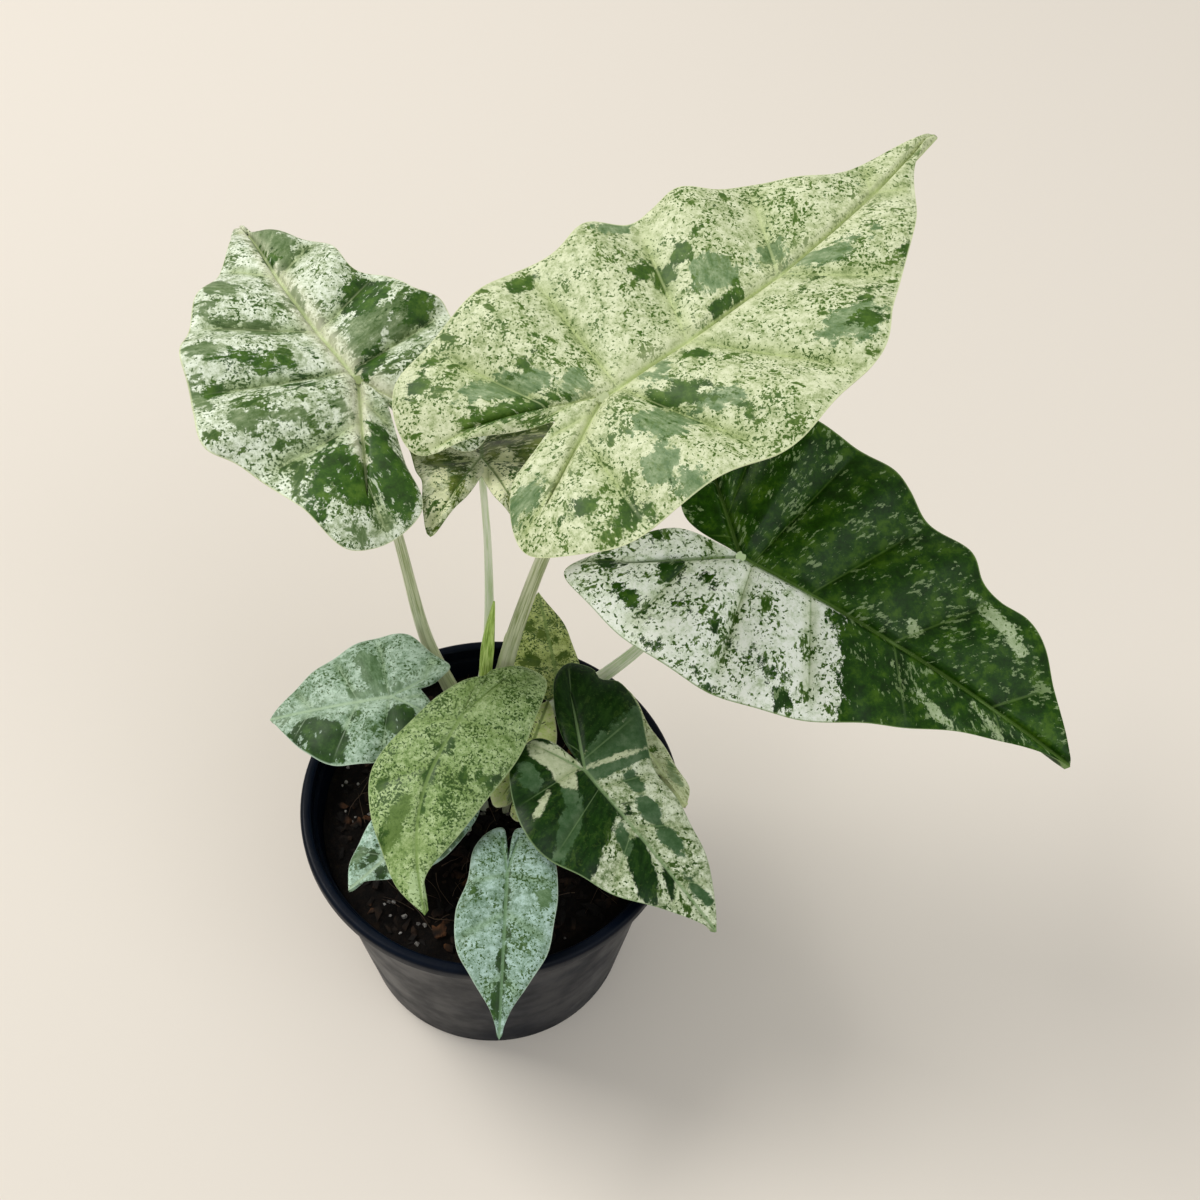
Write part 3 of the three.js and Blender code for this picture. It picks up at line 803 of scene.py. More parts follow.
def patch_mask(tree, channel, spread, ragged, jag):
    """Where a kind of patch shows: at its named places, and at random with the spread's size."""
    size, cover = spread
    depth = ramp_linear(tree, channel, 0, 1, -FIELD_REACH, FIELD_REACH)
    chance = noise(tree, place_of(tree), size, 3, 0.55, 0.3)
    spare = ramp_linear(tree, chance, cover - 0.1, cover + 0.1, -0.1 * size, 0.1 * size)
    depth = math_node(tree, "MAXIMUM", depth, spare)
    depth = math_node(tree, "ADD", depth, ramp_linear(tree, jag, 0.35, 0.65, -ragged, ragged))
    return ramp(tree, depth, -0.0004, 0.0004)


def patchwork(tree, look, spot, flow):
    """The stippled ground with its patches, and how much of the dark and the light ones shows."""
    places = add_node(tree, "Attribute", attribute_name="places").outputs["Color"]
    channels = add_node(tree, "SeparateColor", {"Color": places}).outputs
    jag = math_node(tree, "ADD", noise(tree, flow, 0.006, 7, 0.72), noise(tree, spot, 0.005, 7, 0.75))
    jag = times(tree, jag, 0.5)
    ragged = look["ragged"]

    cloud = ramp_linear(tree, noise(tree, spot, 0.016, 3, 0.6), 0, 1, -look["cloud"], look["cloud"])
    stipple = math_node(tree, "ADD", noise(tree, spot, look["stipple"], 6, 0.8), cloud)
    tone = tones(tree, stipple, look["ground"], 0.4, 0.64)
    sage_part = patch_mask(tree, channels["Green"], look["sage_spread"], ragged, jag)
    tone = mix(tree, sage_part, tone, tones(tree, noise(tree, flow, 0.003, 5, 0.7), look["sage"]))
    dark_part = patch_mask(tree, channels["Red"], look["dark_spread"], ragged, jag)
    tone = mix(tree, dark_part, tone, tones(tree, noise(tree, spot, 0.006, 6, 0.7), look["dark"]))
    pale_part = patch_mask(tree, channels["Blue"], look["pale_spread"], ragged * 0.7, jag)
    tone = mix(tree, pale_part, tone, tones(tree, stipple, look["pale"]))

    dark_part = times(tree, dark_part, math_node(tree, "SUBTRACT", 1, pale_part))
    covered = math_node(tree, "MAXIMUM", dark_part, times(tree, sage_part, 0.6))
    return tone, dark_part, math_node(tree, "SUBTRACT", 1, covered)


def flecked(tree, look, tone, dark_part, light_part, spot, flow):
    """Fine round specks and drawn-out blotches on the light parts, and pale flecks on the dark."""
    crowd = noise(tree, spot, 0.011, 3, 0.6)
    crowd = ramp_linear(tree, crowd, 0.3, 0.7, -look["crowding"], look["crowding"])
    for place, detail, (size, low) in ((spot, 2, look["specks"]), (flow, 5, look["blotches"])):
        speck = math_node(tree, "ADD", noise(tree, place, size, detail, 0.62), crowd)
        share = times(tree, ramp(tree, speck, low, low + 0.025), light_part)
        tone = mix(tree, share, tone, tones(tree, speck, look["fleck"], low, low + 0.08))
    speck = math_node(tree, "SUBTRACT", noise(tree, flow, 0.002, 4, 0.7), crowd)
    low = look["pale_flecks"]
    share = times(tree, ramp(tree, speck, low, low + 0.05), dark_part)
    return mix(tree, times(tree, share, 0.8), tone, look["pale"][-1])


def veined(tree, look, tone, light_part, streak_map, vein_map):
    """Painted shade along the side veins, a halo beside the midrib, the pale veins and the rim."""
    parts = add_node(tree, "SeparateXYZ", {"Vector": vein_map}).outputs
    travel = add_node(tree, "SeparateXYZ", {"Vector": streak_map}).outputs
    from_vein = math_node(tree, "PINGPONG", math_node(tree, "SUBTRACT", parts["X"], VEIN_TROUGH), 0.5)
    side_vein = ramp(tree, from_vein, 0.004, 0.018, 1, 0)
    side_vein = times(tree, side_vein, ramp(tree, parts["Y"], 0.5, 1.0, look["vein_share"], 0))
    # Painted shade along the side veins, where the sheet dips; it fades out near the margin.
    furrow_shade = ramp(tree, from_vein, 0.01, 0.16, look["furrow_shade"], 0)
    furrow_shade = times(tree, furrow_shade, ramp(tree, parts["Y"], 0.75, 1.0, 1, 0))
    tone = mix(tree, furrow_shade, tone, look["furrow_shade_colour"], "MULTIPLY")
    halo = times(tree, ramp(tree, travel["Y"], 0, 0.009, look["halo"], 0), light_part)
    tone = mix(tree, halo, tone, look["halo_colour"])
    midrib = ramp(tree, travel["Y"], 0.0004, 0.0011, 0.75, 0)
    tone = mix(tree, math_node(tree, "MAXIMUM", side_vein, midrib), tone, look["vein"])
    return mix(tree, ramp(tree, parts["Y"], look["margin_from"], 0.998, 0, 0.8), tone, look["margin"])


def blade_finish(name, look, under=False):
    """The variegated skin of one face: patches, flecks and veins. The underside is duller."""
    material, tree, shader = new_material(name)
    spot, streak_map, vein_map = place_of(tree), uv_of(tree, "streaks"), uv_of(tree, "veins")
    flow = squeezed(tree, streak_map, look["stretch"])
    tone, dark_part, light_part = patchwork(tree, look, spot, flow)
    tone = flecked(tree, look, tone, dark_part, light_part, spot, flow)
    tone = veined(tree, look, tone, light_part, streak_map, vein_map)
    rough = ramp(tree, noise(tree, spot, 0.01, 3), 0.3, 0.7, look["shine"] - 0.05, look["shine"] + 0.06)
    if under:
        tone = mix(tree, 0.45, tone, look["under"])
        rough = 0.7
    cells = noise(tree, flow, 0.0011, 3, 0.6)
    set_inputs(tree, shader, Base_Color=tone, Roughness=rough, Specular_IOR_Level=look["gloss"])
    set_inputs(tree, shader, Normal=bump(tree, cells, 0.18, 0.0004))
    return material


def stalk(name, leaf):
    """The leaf's stem on its route from the soil to the joint, ribbed and broader at its foot."""
    up = blade_axes(leaf)[2]
    joint = Vector(leaf["joint"])
    x, y = leaf["foot"]
    under = BLADE_THICKNESS / 2
    route = [Vector((x, y, SOIL_LEVEL - STALK_DEPTH)), Vector((x, y, SOIL_LEVEL))]
    route += [Vector(p) for p in leaf["bends"]] + [joint - up * (under + STALK_TOP), joint - up * under]
    thick, thin = leaf["stalk"]

    def radius_at(way, angle):
        swell = (1 - way) ** 2
        ribs = 0.05 * swell * math.cos(6 * angle) + 0.02 * math.cos(11 * angle + 1)
        return (thin + (thick - thin) * swell) * (1 + ribs)

    return swept(name, smooth_route(route, STALK_STEPS), radius_at, STALK_SIDES)


def stalk_finish(name, pale_tone, green_tone):
    """Pale juicy stem with fine lengthwise green streaks."""
    material, tree, shader = new_material(name)
    streak = noise(tree, squeezed(tree, uv_of(tree, "around"), 0.35), 0.045, 4, 0.65)
    tone = mix(tree, ramp(tree, streak, 0.42, 0.62), pale_tone, green_tone)
    cloud = ramp(tree, noise(tree, place_of(tree), 0.03, 2), 0.35, 0.65)
    tone = mix(tree, cloud, tone, mix(tree, 0.5, tone, pale_tone))
    set_inputs(tree, shader, Base_Color=tone, Roughness=0.38, Normal=bump(tree, streak, 0.25, 0.0004))
    return material


def leaf_pieces(number, leaf, look, slot, stem_finish):
    """Makes and settles the blade and the stalk of one leaf."""
    skins = [blade_finish(f"skin_{number}", look), blade_finish(f"underside_{number}", look, True)]
    settle(blade(f"blade_{number}", leaf), skins, slot, f"leaf_{number}_blade")
    settle(stalk(f"stalk_{number}", leaf), [stem_finish], "stalk", f"leaf_{number}_stalk")


pale_stem = stalk_finish("pale_stem", paint(248, 255, 232), paint(202, 226, 172))
green_stem = stalk_finish("green_stem", paint(212, 218, 184), paint(140, 156, 96))

CREAM_LOOK = dict(
    ground=shades((218, 224, 188), (202, 210, 170), (175, 187, 140), (138, 154, 102)),
    stipple=0.0034, cloud=0.08,
    sage=shades((150, 168, 128), (116, 140, 96), (84, 114, 68)), sage_spread=(0.03, 0.73),
    dark=shades((86, 116, 38), (58, 92, 16), (38, 70, 6)), dark_spread=(0.02, 0.75),
    pale=shades((224, 230, 196), (200, 210, 168)), pale_spread=(0.03, 0.95),
    fleck=shades((104, 128, 58), (62, 94, 20)), specks=(0.001, 0.568), blotches=(0.0037, 0.608),
    pale_flecks=0.64, crowding=0.1, stretch=0.5, ragged=0.0045,
    # The furrow values darken the skin along the side veins, as painted shade.
    furrow_shade=0.6, furrow_shade_colour=paint(200, 212, 168), halo=0.35, halo_colour=paint(216, 222, 176),
    vein=paint(194, 208, 148), vein_share=0.4, margin=paint(206, 214, 168),
    margin_from=0.985, under=paint(190, 204, 168), shine=0.5, gloss=0.3,
)
LEAF_1 = dict(
    joint=(0.034, 0.038, 0.3), heading=48, pitch=12,
    length=0.164, notch=(-0.016, 0.005),
    left=[
        (0.15, 0.0025), (0.135, 0.006), (0.118, 0.01), (0.105, 0.02), (0.096, 0.027), (0.085, 0.032),
        (0.076, 0.0395), (0.065, 0.041), (0.055, 0.0425), (0.044, 0.05), (0.03, 0.05), (0.015, 0.055),
        (-0.005, 0.056), (-0.039, 0.054), (-0.051, 0.036), (-0.035, 0.02),
    ],
    right=[
        (0.156, -0.0015), (0.151, -0.004), (0.141, -0.009), (0.122, -0.025), (0.1, -0.037), (0.084, -0.046),
        (0.071, -0.054), (0.055, -0.056), (0.029, -0.059), (0.008, -0.053), (-0.015, -0.047),
        (-0.038, -0.039), (-0.052, -0.018), (-0.041, 0),
    ],
    half_width=0.058, bow=-0.008, tip_drop=0.016, lobe=0.055, lobe_drop=0.012,
    rise=(0.007, 0.007), waves=7, wave=0.0024, puff=0.0048,
    rows=280, columns=24,
    foot=(-0.003, 0.04), bends=[(0.002, 0.04, 0.145), (0.012, 0.04, 0.197)],
    stalk=(0.0043, 0.0021),
    patches=[
        dark(-0.022, 0.018, 0.014, 0.004, -35), sage(-0.017, 0.024, 0.014, 0.005, -35),
        sage(-0.003, 0.009, 0.005, 0.004), dark(-0.036, 0.046, 0.004, 0.003),
        dark(-0.03, 0.05, 0.003, 0.002), dark(0.013, 0.048, 0.006, 0.003),
        dark(0.043, 0.024, 0.005, 0.004), dark(0.047, 0.017, 0.005, 0.004),
        dark(0.057, 0.019, 0.004, 0.003), dark(0.066, 0.02, 0.003, 0.002),
        dark(-0.01, 0.025, 0.004, 0.002), sage(0.05, 0.044, 0.006, 0.004),
        sage(0.057, 0.006, 0.008, 0.007, 20), dark(0.049, -0.004, 0.009, 0.0025),
        sage(0.078, 0, 0.007, 0.004), dark(0.014, -0.019, 0.012, 0.0035, -50),
        sage(0.003, -0.022, 0.01, 0.007, -40), sage(-0.009, -0.034, 0.007, 0.005),
        dark(-0.025, -0.037, 0.006, 0.005), dark(-0.033, -0.024, 0.005, 0.003),
        sage(-0.008, -0.046, 0.006, 0.004), sage(0.07, -0.042, 0.011, 0.006, -30),
        dark(0.074, -0.045, 0.006, 0.003, -30), sage(-0.043, -0.006, 0.008, 0.004),
        sage(0.09, -0.014, 0.014, 0.003, -20), dark(0.078, -0.019, 0.005, 0.002),
        dark(0.085, -0.036, 0.004, 0.002), dark(0.108, -0.033, 0.004, 0.002),
        dark(0.03, -0.012, 0.006, 0.002, -50), sage(0.02, -0.03, 0.008, 0.004, -50),
    ],
)
leaf_pieces(1, LEAF_1, CREAM_LOOK, "leaf_cream", green_stem)


# Leaf 2, at the back left: whiter than leaf 1, with green streaks that follow the veins, and two
# dark green patches on its lower lobe. Its tip curls under. It stands on the next thickest stalk.
WHITE_LOOK = dict(
    CREAM_LOOK,
    ground=shades((232, 240, 222), (212, 222, 198), (174, 188, 154), (130, 148, 108)),
    stipple=0.0034, cloud=0.12,
    sage=shades((146, 162, 122), (108, 130, 86), (80, 106, 56)), sage_spread=(0.024, 0.67),
    dark=shades((76, 110, 30), (46, 84, 9), (31, 60, 3)), dark_spread=(0.02, 0.73),
    pale=shades((234, 242, 222), (206, 218, 194)),
    fleck=shades((96, 122, 60), (52, 84, 20)), stretch=0.4, blotches=(0.0046, 0.585),
    pale_flecks=0.61, vein=paint(196, 208, 160), vein_share=0.35,
    halo=0.6, halo_colour=paint(226, 226, 196),
    furrow_shade=0.85, furrow_shade_colour=paint(186, 198, 158),
)
LEAF_2 = dict(
    joint=(-0.051, 0.076, 0.262), heading=122, pitch=8,
    length=0.122, notch=(-0.013, -0.005),
    left=[
        (0.098, 0.01), (0.085, 0.014), (0.072, 0.022), (0.062, 0.029), (0.055, 0.038), (0.043, 0.045),
        (0.031, 0.052), (0.019, 0.054), (0.005, 0.057), (-0.01, 0.059), (-0.019, 0.05), (-0.039, 0.039),
        (-0.059, 0.029), (-0.055, 0.002), (-0.036, -0.001),
    ],
    right=[
        (0.098, 0.004), (0.085, -0.001), (0.075, -0.008), (0.066, -0.016), (0.048, -0.018), (0.04, -0.028),
        (0.027, -0.033), (0.02, -0.041), (0.006, -0.041), (-0.011, -0.045), (-0.029, -0.04),
        (-0.041, -0.026), (-0.031, -0.012),
    ],
    half_width=0.05, bow=0.007, tip_drop=0.05, tip_power=4, lobe=0.058, lobe_drop=0.008,
    rise=(0.005, 0.005), waves=7, wave=0.0026, puff=0.0052,
    rows=280, columns=24,
    foot=(-0.015, 0.043),
    bends=[(-0.02, 0.047, 0.11), (-0.03, 0.052, 0.139), (-0.038, 0.054, 0.202)],
    stalk=(0.004, 0.0017),
    patches=[
        dark(-0.035, 0.019, 0.014, 0.008, 15), dark(-0.038, 0.006, 0.018, 0.006, -5),
        sage(-0.053, 0.014, 0.004, 0.003), sage(-0.056, 0.024, 0.004, 0.003),
        dark(-0.044, 0.036, 0.008, 0.003, -10), dark(-0.031, 0.027, 0.014, 0.0025, -35),
        dark(0.017, 0.03, 0.014, 0.003, 62), dark(0.013, 0.047, 0.004, 0.003),
        sage(0.01, 0.053, 0.006, 0.003), sage(-0.005, 0.044, 0.006, 0.004),
        sage(0.057, 0.03, 0.008, 0.004, 50), sage(0.027, 0.044, 0.007, 0.004, 60),
        dark(0.014, 0.011, 0.003, 0.002), dark(0.004, -0.007, 0.008, 0.003, -60),
        dark(0.032, -0.017, 0.01, 0.009, -50), dark(0.019, -0.032, 0.009, 0.005, -40),
        sage(0.018, -0.012, 0.012, 0.006, -55), sage(0.012, -0.022, 0.006, 0.005),
        sage(0.075, 0.002, 0.02, 0.007), dark(0.068, 0.005, 0.006, 0.003), sage(0.04, 0.006, 0.01, 0.002),
        sage(-0.008, 0.03, 0.012, 0.003, 75), sage(0.035, 0.024, 0.012, 0.003, 58),
        dark(0.002, 0.018, 0.005, 0.002, 70),
    ],
)
leaf_pieces(2, LEAF_2, WHITE_LOOK, "leaf_cream", green_stem)


# Leaf 3, on the right: deep green, with one white sector, freckled with green, that takes in the
# whole lower lobe. It leans away to the right on a stalk that bends low over the rim.
DARK_LOOK = dict(
    CREAM_LOOK,
    ground=shades((250, 254, 244), (242, 248, 234), (220, 230, 208), (180, 196, 160)),
    stipple=0.0036, cloud=0.04,
    sage=shades((128, 150, 100), (96, 120, 70)), sage_spread=(0.03, 0.9),
    dark=shades((62, 96, 16), (30, 66, 3), (18, 47, 1)), dark_spread=(0.02, 0.84), gloss=0.14,
    pale=shades((180, 196, 158), (138, 160, 112)),
    fleck=shades((112, 138, 76), (50, 84, 18)), specks=(0.0013, 0.582), blotches=(0.004, 0.605),
    pale_flecks=0.59, vein=paint(100, 130, 62), vein_share=0.4, margin=paint(120, 146, 84),
    furrow_shade=0.5, furrow_shade_colour=paint(190, 200, 160), halo=0, shine=0.36,
)
LEAF_3 = dict(
    joint=(0.085, 0.033, 0.232), heading=-26, pitch=-10, roll=18,
    length=0.134, notch=(-0.003, 0),
    left=[
        (0.125, 0.01), (0.116, 0.02), (0.107, 0.029), (0.096, 0.035), (0.085, 0.036), (0.076, 0.038),
        (0.067, 0.044), (0.05, 0.046), (0.039, 0.051), (0.028, 0.055), (0.012, 0.056), (-0.007, 0.056),
        (-0.023, 0.06), (-0.041, 0.042), (-0.035, 0.02), (-0.024, 0.003),
    ],
    right=[
        (0.113, -0.005), (0.092, -0.014), (0.073, -0.024), (0.054, -0.035), (0.034, -0.044),
        (0.013, -0.048), (-0.008, -0.048), (-0.03, -0.044), (-0.05, -0.035), (-0.039, -0.018),
        (-0.024, -0.002),
    ],
    half_width=0.055, bow=0.002, tip_drop=0.016, lobe=0.046, lobe_drop=0.008,
    rise=(0.005, 0.005), waves=7, wave=0.0024, puff=0.0046,
    rows=280, columns=24,
    foot=(0.011, 0.042),
    bends=[(0.026, 0.045, 0.115), (0.042, 0.047, 0.134), (0.054, 0.047, 0.153), (0.063, 0.043, 0.178)],
    stalk=(0.0041, 0.0018),
    patches=[
        sector("dark", LEFT, 0, 1), sector("dark", RIGHT, 0, 0.35), dark(-0.018, -0.017, 0.0042, 0.005),
        dark(-0.025, -0.033, 0.0065, 0.003), dark(-0.008, -0.027, 0.003, 0.0016),
        dark(0.005, -0.027, 0.0022, 0.0014), dark(0.012, -0.029, 0.0022, 0.0018),
        dark(0.022, -0.03, 0.003, 0.002), dark(0.033, -0.031, 0.003, 0.002),
        dark(0.038, -0.037, 0.004, 0.003), dark(-0.03, -0.008, 0.004, 0.002),
        dark(-0.038, -0.025, 0.004, 0.002), dark(0.012, -0.046, 0.004, 0.0015),
        dark(-0.01, -0.044, 0.004, 0.0018), dark(0.018, -0.015, 0.0022, 0.0015),
        dark(-0.004, -0.014, 0.0022, 0.0015), pale(0.088, 0.028, 0.011, 0.0025, -15),
        pale(0.064, 0.01, 0.003, 0.002), pale(0.096, 0.024, 0.005, 0.0015, -15),
        pale(0.083, -0.012, 0.008, 0.0008, -20), pale(0.106, -0.005, 0.006, 0.001, -15),
    ],
)
leaf_pieces(3, LEAF_3, DARK_LOOK, "leaf_dark", pale_stem)


# Leaf 4, low behind leaves 1 and 2: its left lobe is marbled dark green and white, and its right
# lobe is cream, with deep green beyond it. Its stalk rises almost upright at the back.
MARBLED_LOOK = dict(
    DARK_LOOK,
    ground=shades((230, 232, 206), (200, 208, 170), (152, 166, 118)), stipple=0.003, cloud=0.1,
    dark=shades((122, 136, 66), (68, 92, 20), (42, 62, 6)), dark_spread=(0.012, 0.52),
    pale=shades((240, 242, 206), (208, 214, 168)), pale_flecks=0.53, margin_from=0.97,
    ragged=0.003,
)
LEAF_4 = dict(
    joint=(-0.008, 0.067, 0.236), heading=96, pitch=-20,
    length=0.095, notch=(-0.012, 0),
    left=[
        (0.08, 0.006), (0.06, 0.017), (0.038, 0.025), (0.014, 0.028), (0.002, 0.025), (-0.008, 0.023),
        (-0.017, 0.0205), (-0.029, 0.02), (-0.038, 0.017), (-0.025, 0.007),
    ],
    right=[
        (0.08, -0.006), (0.06, -0.017), (0.038, -0.025), (0.014, -0.029), (-0.01, -0.028), (-0.029, -0.023),
        (-0.037, -0.015), (-0.025, -0.006),
    ],
    half_width=0.03, tip_drop=0.015, lobe=0.035, lobe_drop=0.008,
    rise=(0.002, 0.002), waves=6, wave=0.0014, puff=0.0016,
    rows=120, columns=16,
    foot=(-0.01, 0.05), bends=[(-0.006, 0.052, 0.14), (-0.006, 0.061, 0.19)],
    stalk=(0.0036, 0.0013),
    patches=[
        sector("dark", LEFT, 0, 0.55), sector("dark", RIGHT, 0, 0.66),
        pale(-0.012, -0.006, 0.015, 0.006, -15), pale(-0.028, 0.015, 0.008, 0.004, -20),
        dark(-0.018, 0.009, 0.006, 0.0035), dark(-0.003, 0.014, 0.005, 0.009),
        pale(-0.015, 0.015, 0.006, 0.003, -30),
    ],
)
leaf_pieces(4, LEAF_4, MARBLED_LOOK, "leaf_dark", pale_stem)


# Leaf 5, the small one on the left: mint green and finely speckled, with one dark sector. Like
# the other small leaves it stands on a short stalk of its own, which comes up through the soil.
MINT_LOOK = dict(
    CREAM_LOOK,
    ground=shades((176, 199, 180), (150, 174, 152), (118, 146, 118), (86, 115, 80)),
    stipple=0.0028, cloud=0.12, ragged=0.0028,
    sage=shades((116, 143, 108), (90, 119, 82), (70, 100, 60)), sage_spread=(0.02, 0.72),
    dark=shades((60, 94, 34), (34, 68, 14), (22, 52, 8)), dark_spread=(0.02, 0.82),
    pale=shades((200, 220, 206), (170, 192, 174)),
    fleck=shades((82, 112, 66), (48, 80, 30)), specks=(0.001, 0.57), blotches=(0.0034, 0.64),
    vein=paint(160, 184, 150), vein_share=0.35, margin=paint(176, 198, 176), margin_from=0.97,
    halo_colour=paint(184, 206, 184), under=paint(170, 190, 176),
)
LEAF_5 = dict(
    joint=(-0.04, 0.021, 0.147), heading=189, pitch=-8,
    length=0.049, notch=(-0.011, -0.002),
    left=[
        (0.042, 0.009), (0.035, 0.017), (0.027, 0.023), (0.016, 0.026), (0.002, 0.0255), (-0.01, 0.021),
        (-0.017, 0.013), (-0.015, 0.005),
    ],
    right=[
        (0.04, -0.01), (0.03, -0.018), (0.019, -0.024), (0.006, -0.028), (-0.007, -0.027), (-0.016, -0.018),
        (-0.023, -0.011), (-0.018, -0.005),
    ],
    half_width=0.028, tip_drop=0.004, lobe=0.025, lobe_drop=0.002,
    rise=(-0.002, 0.003), waves=5, wave=0.0008, puff=0.0016,
    rows=100, columns=16,
    foot=(-0.024, 0.028), bends=[(-0.03, 0.026, 0.12)],
    stalk=(0.0024, 0.0011),
    patches=[
        dark(0.029, 0.014, 0.013, 0.009, -35), dark(-0.003, 0.011, 0.007, 0.006),
        dark(0.013, 0.006, 0.003, 0.002), sage(0.008, -0.012, 0.01, 0.004, -70),
        sage(0.008, -0.003, 0.01, 0.002), dark(0.022, 0.02, 0.005, 0.003),
    ],
)
leaf_pieces(5, LEAF_5, MINT_LOOK, "leaf_mint", pale_stem)


# Leaf 6, at the front over the soil: lime green under a dense fine speckle, arched, with a long tip
# and both its halves bent down, the left one more.
LIME_LOOK = dict(
    CREAM_LOOK,
    ground=shades((178, 198, 146), (152, 175, 116), (121, 148, 84), (93, 122, 58)),
    stipple=0.0022, cloud=0.09, ragged=0.0028,
    sage=shades((104, 130, 66), (78, 106, 40)), sage_spread=(0.02, 0.76),
    dark=shades((76, 106, 34), (48, 82, 15), (34, 62, 8)), dark_spread=(0.02, 0.82),
    pale=shades((180, 202, 154), (152, 176, 122)),
    fleck=shades((78, 106, 46), (50, 80, 20)), specks=(0.0009, 0.55), blotches=(0.0026, 0.63),
    vein=paint(118, 144, 76), vein_share=0.2, margin=paint(158, 178, 124), margin_from=0.97,
    halo=0.2, halo_colour=paint(150, 172, 110), under=paint(160, 184, 160),
)
LEAF_6 = dict(
    joint=(-0.011, 0.008, 0.158), heading=264, pitch=-15,
    length=0.074, notch=(-0.018, 0.005),
    left=[
        (0.06, -0.002), (0.044, 0.007), (0.03, 0.014), (0.015, 0.022), (0, 0.026), (-0.021, 0.028),
        (-0.026, 0.018), (-0.022, 0.007),
    ],
    right=[
        (0.066, -0.012), (0.054, -0.02), (0.041, -0.027), (0.027, -0.03), (0.014, -0.025), (0.002, -0.017),
        (-0.009, -0.008), (-0.015, -0.002),
    ],
    half_width=0.028, bow=-0.009, tip_drop=0.01, lobe=0.025, lobe_drop=0.008,
    rise=(-0.004, -0.002), waves=5, wave=0.0008, puff=0.0016,
    rows=100, columns=16,
    foot=(-0.004, 0.003), bends=[(-0.006, 0.003, 0.122)],
    stalk=(0.0026, 0.0012),
    patches=[
        dark(0.022, -0.007, 0.009, 0.002), dark(0.036, -0.008, 0.007, 0.0016),
        dark(0.013, -0.002, 0.003, 0.002), dark(0.022, 0.011, 0.003, 0.002),
        dark(0.024, 0.004, 0.003, 0.002), dark(0.022, 0.016, 0.006, 0.002, -30),
        sage(0.045, -0.017, 0.012, 0.004, -20), dark(0.05, -0.021, 0.005, 0.002, -20),
        pale(0.066, -0.004, 0.008, 0.003), dark(0.03, -0.024, 0.004, 0.002),
    ],
)
leaf_pieces(6, LEAF_6, LIME_LOOK, "leaf_lime", pale_stem)


# Leaf 7, which hangs over the front of the rim: pale mint, with a dark stripe on its midrib. Its
# short stalk leans out of the soil towards the front.
STRIPED_LOOK = dict(
    MINT_LOOK,
    ground=shades((168, 195, 186), (144, 171, 156), (116, 144, 124), (88, 117, 93)),
    sage_spread=(0.02, 0.8), dark_spread=(0.02, 0.95), specks=(0.0009, 0.575),
    vein=paint(104, 136, 98), vein_share=0.15, halo=0,
)
LEAF_7 = dict(
    joint=(0.01, -0.041, 0.13), heading=272, pitch=-6,
    length=0.059, notch=(-0.003, 0),
    left=[
        (0.049, 0.004), (0.04, 0.01), (0.03, 0.016), (0.019, 0.018), (0.008, 0.019), (-0.006, 0.017),
        (-0.016, 0.01), (-0.017, 0.002),
    ],
    right=[
        (0.049, -0.004), (0.039, -0.011), (0.029, -0.017), (0.016, -0.018), (0.004, -0.0145),
        (-0.008, -0.013), (-0.016, -0.008), (-0.017, -0.002),
    ],
    half_width=0.02, tip_drop=0.012, lobe=0.02, lobe_drop=0.003,
    rise=(0.002, 0.002), waves=5, wave=0.0006, puff=0.0012,
    rows=100, columns=16,
    foot=(0.005, -0.014), bends=[(0.007, -0.027, 0.116)],
    stalk=(0.0023, 0.0011),
    patches=[
        dark(0.034, 0, 0.007, 0.0023), dark(0.045, -0.001, 0.008, 0.0017),
        dark(0.014, 0, 0.012, 0.0008), dark(0.008, -0.011, 0.0025, 0.0015),
        sage(0.01, 0.014, 0.004, 0.0025), dark(0.026, 0.001, 0.005, 0.0012),
    ],
)
leaf_pieces(7, LEAF_7, STRIPED_LOOK, "leaf_mint", green_stem)


# Leaf 8, at the front right of the pot: one lobe deep green, the other half banded with deep
# green and cream, and a cream blade beyond it with an olive streak. On this leaf the sage patches
# are the deepest green and the dark ones a mid green.
BANDED_LOOK = dict(
    DARK_LOOK,
    ground=shades((212, 220, 196), (188, 198, 168), (138, 154, 114), (84, 106, 60)),
    stipple=0.003, cloud=0.1, ragged=0.0018,
    sage=shades((34, 64, 16), (18, 48, 8), (10, 35, 3)), sage_spread=(0.02, 0.78),
    dark=shades((88, 112, 80), (66, 94, 60), (50, 80, 44)), dark_spread=(0.02, 0.78),
    pale=shades((196, 203, 170), (164, 176, 138)), pale_flecks=0.8,
    fleck=shades((76, 100, 42), (42, 70, 16)), specks=(0.0014, 0.6), blotches=(0.0042, 0.61),
    vein=paint(120, 146, 100), vein_share=0.4, margin=paint(128, 152, 106), margin_from=0.98,
)
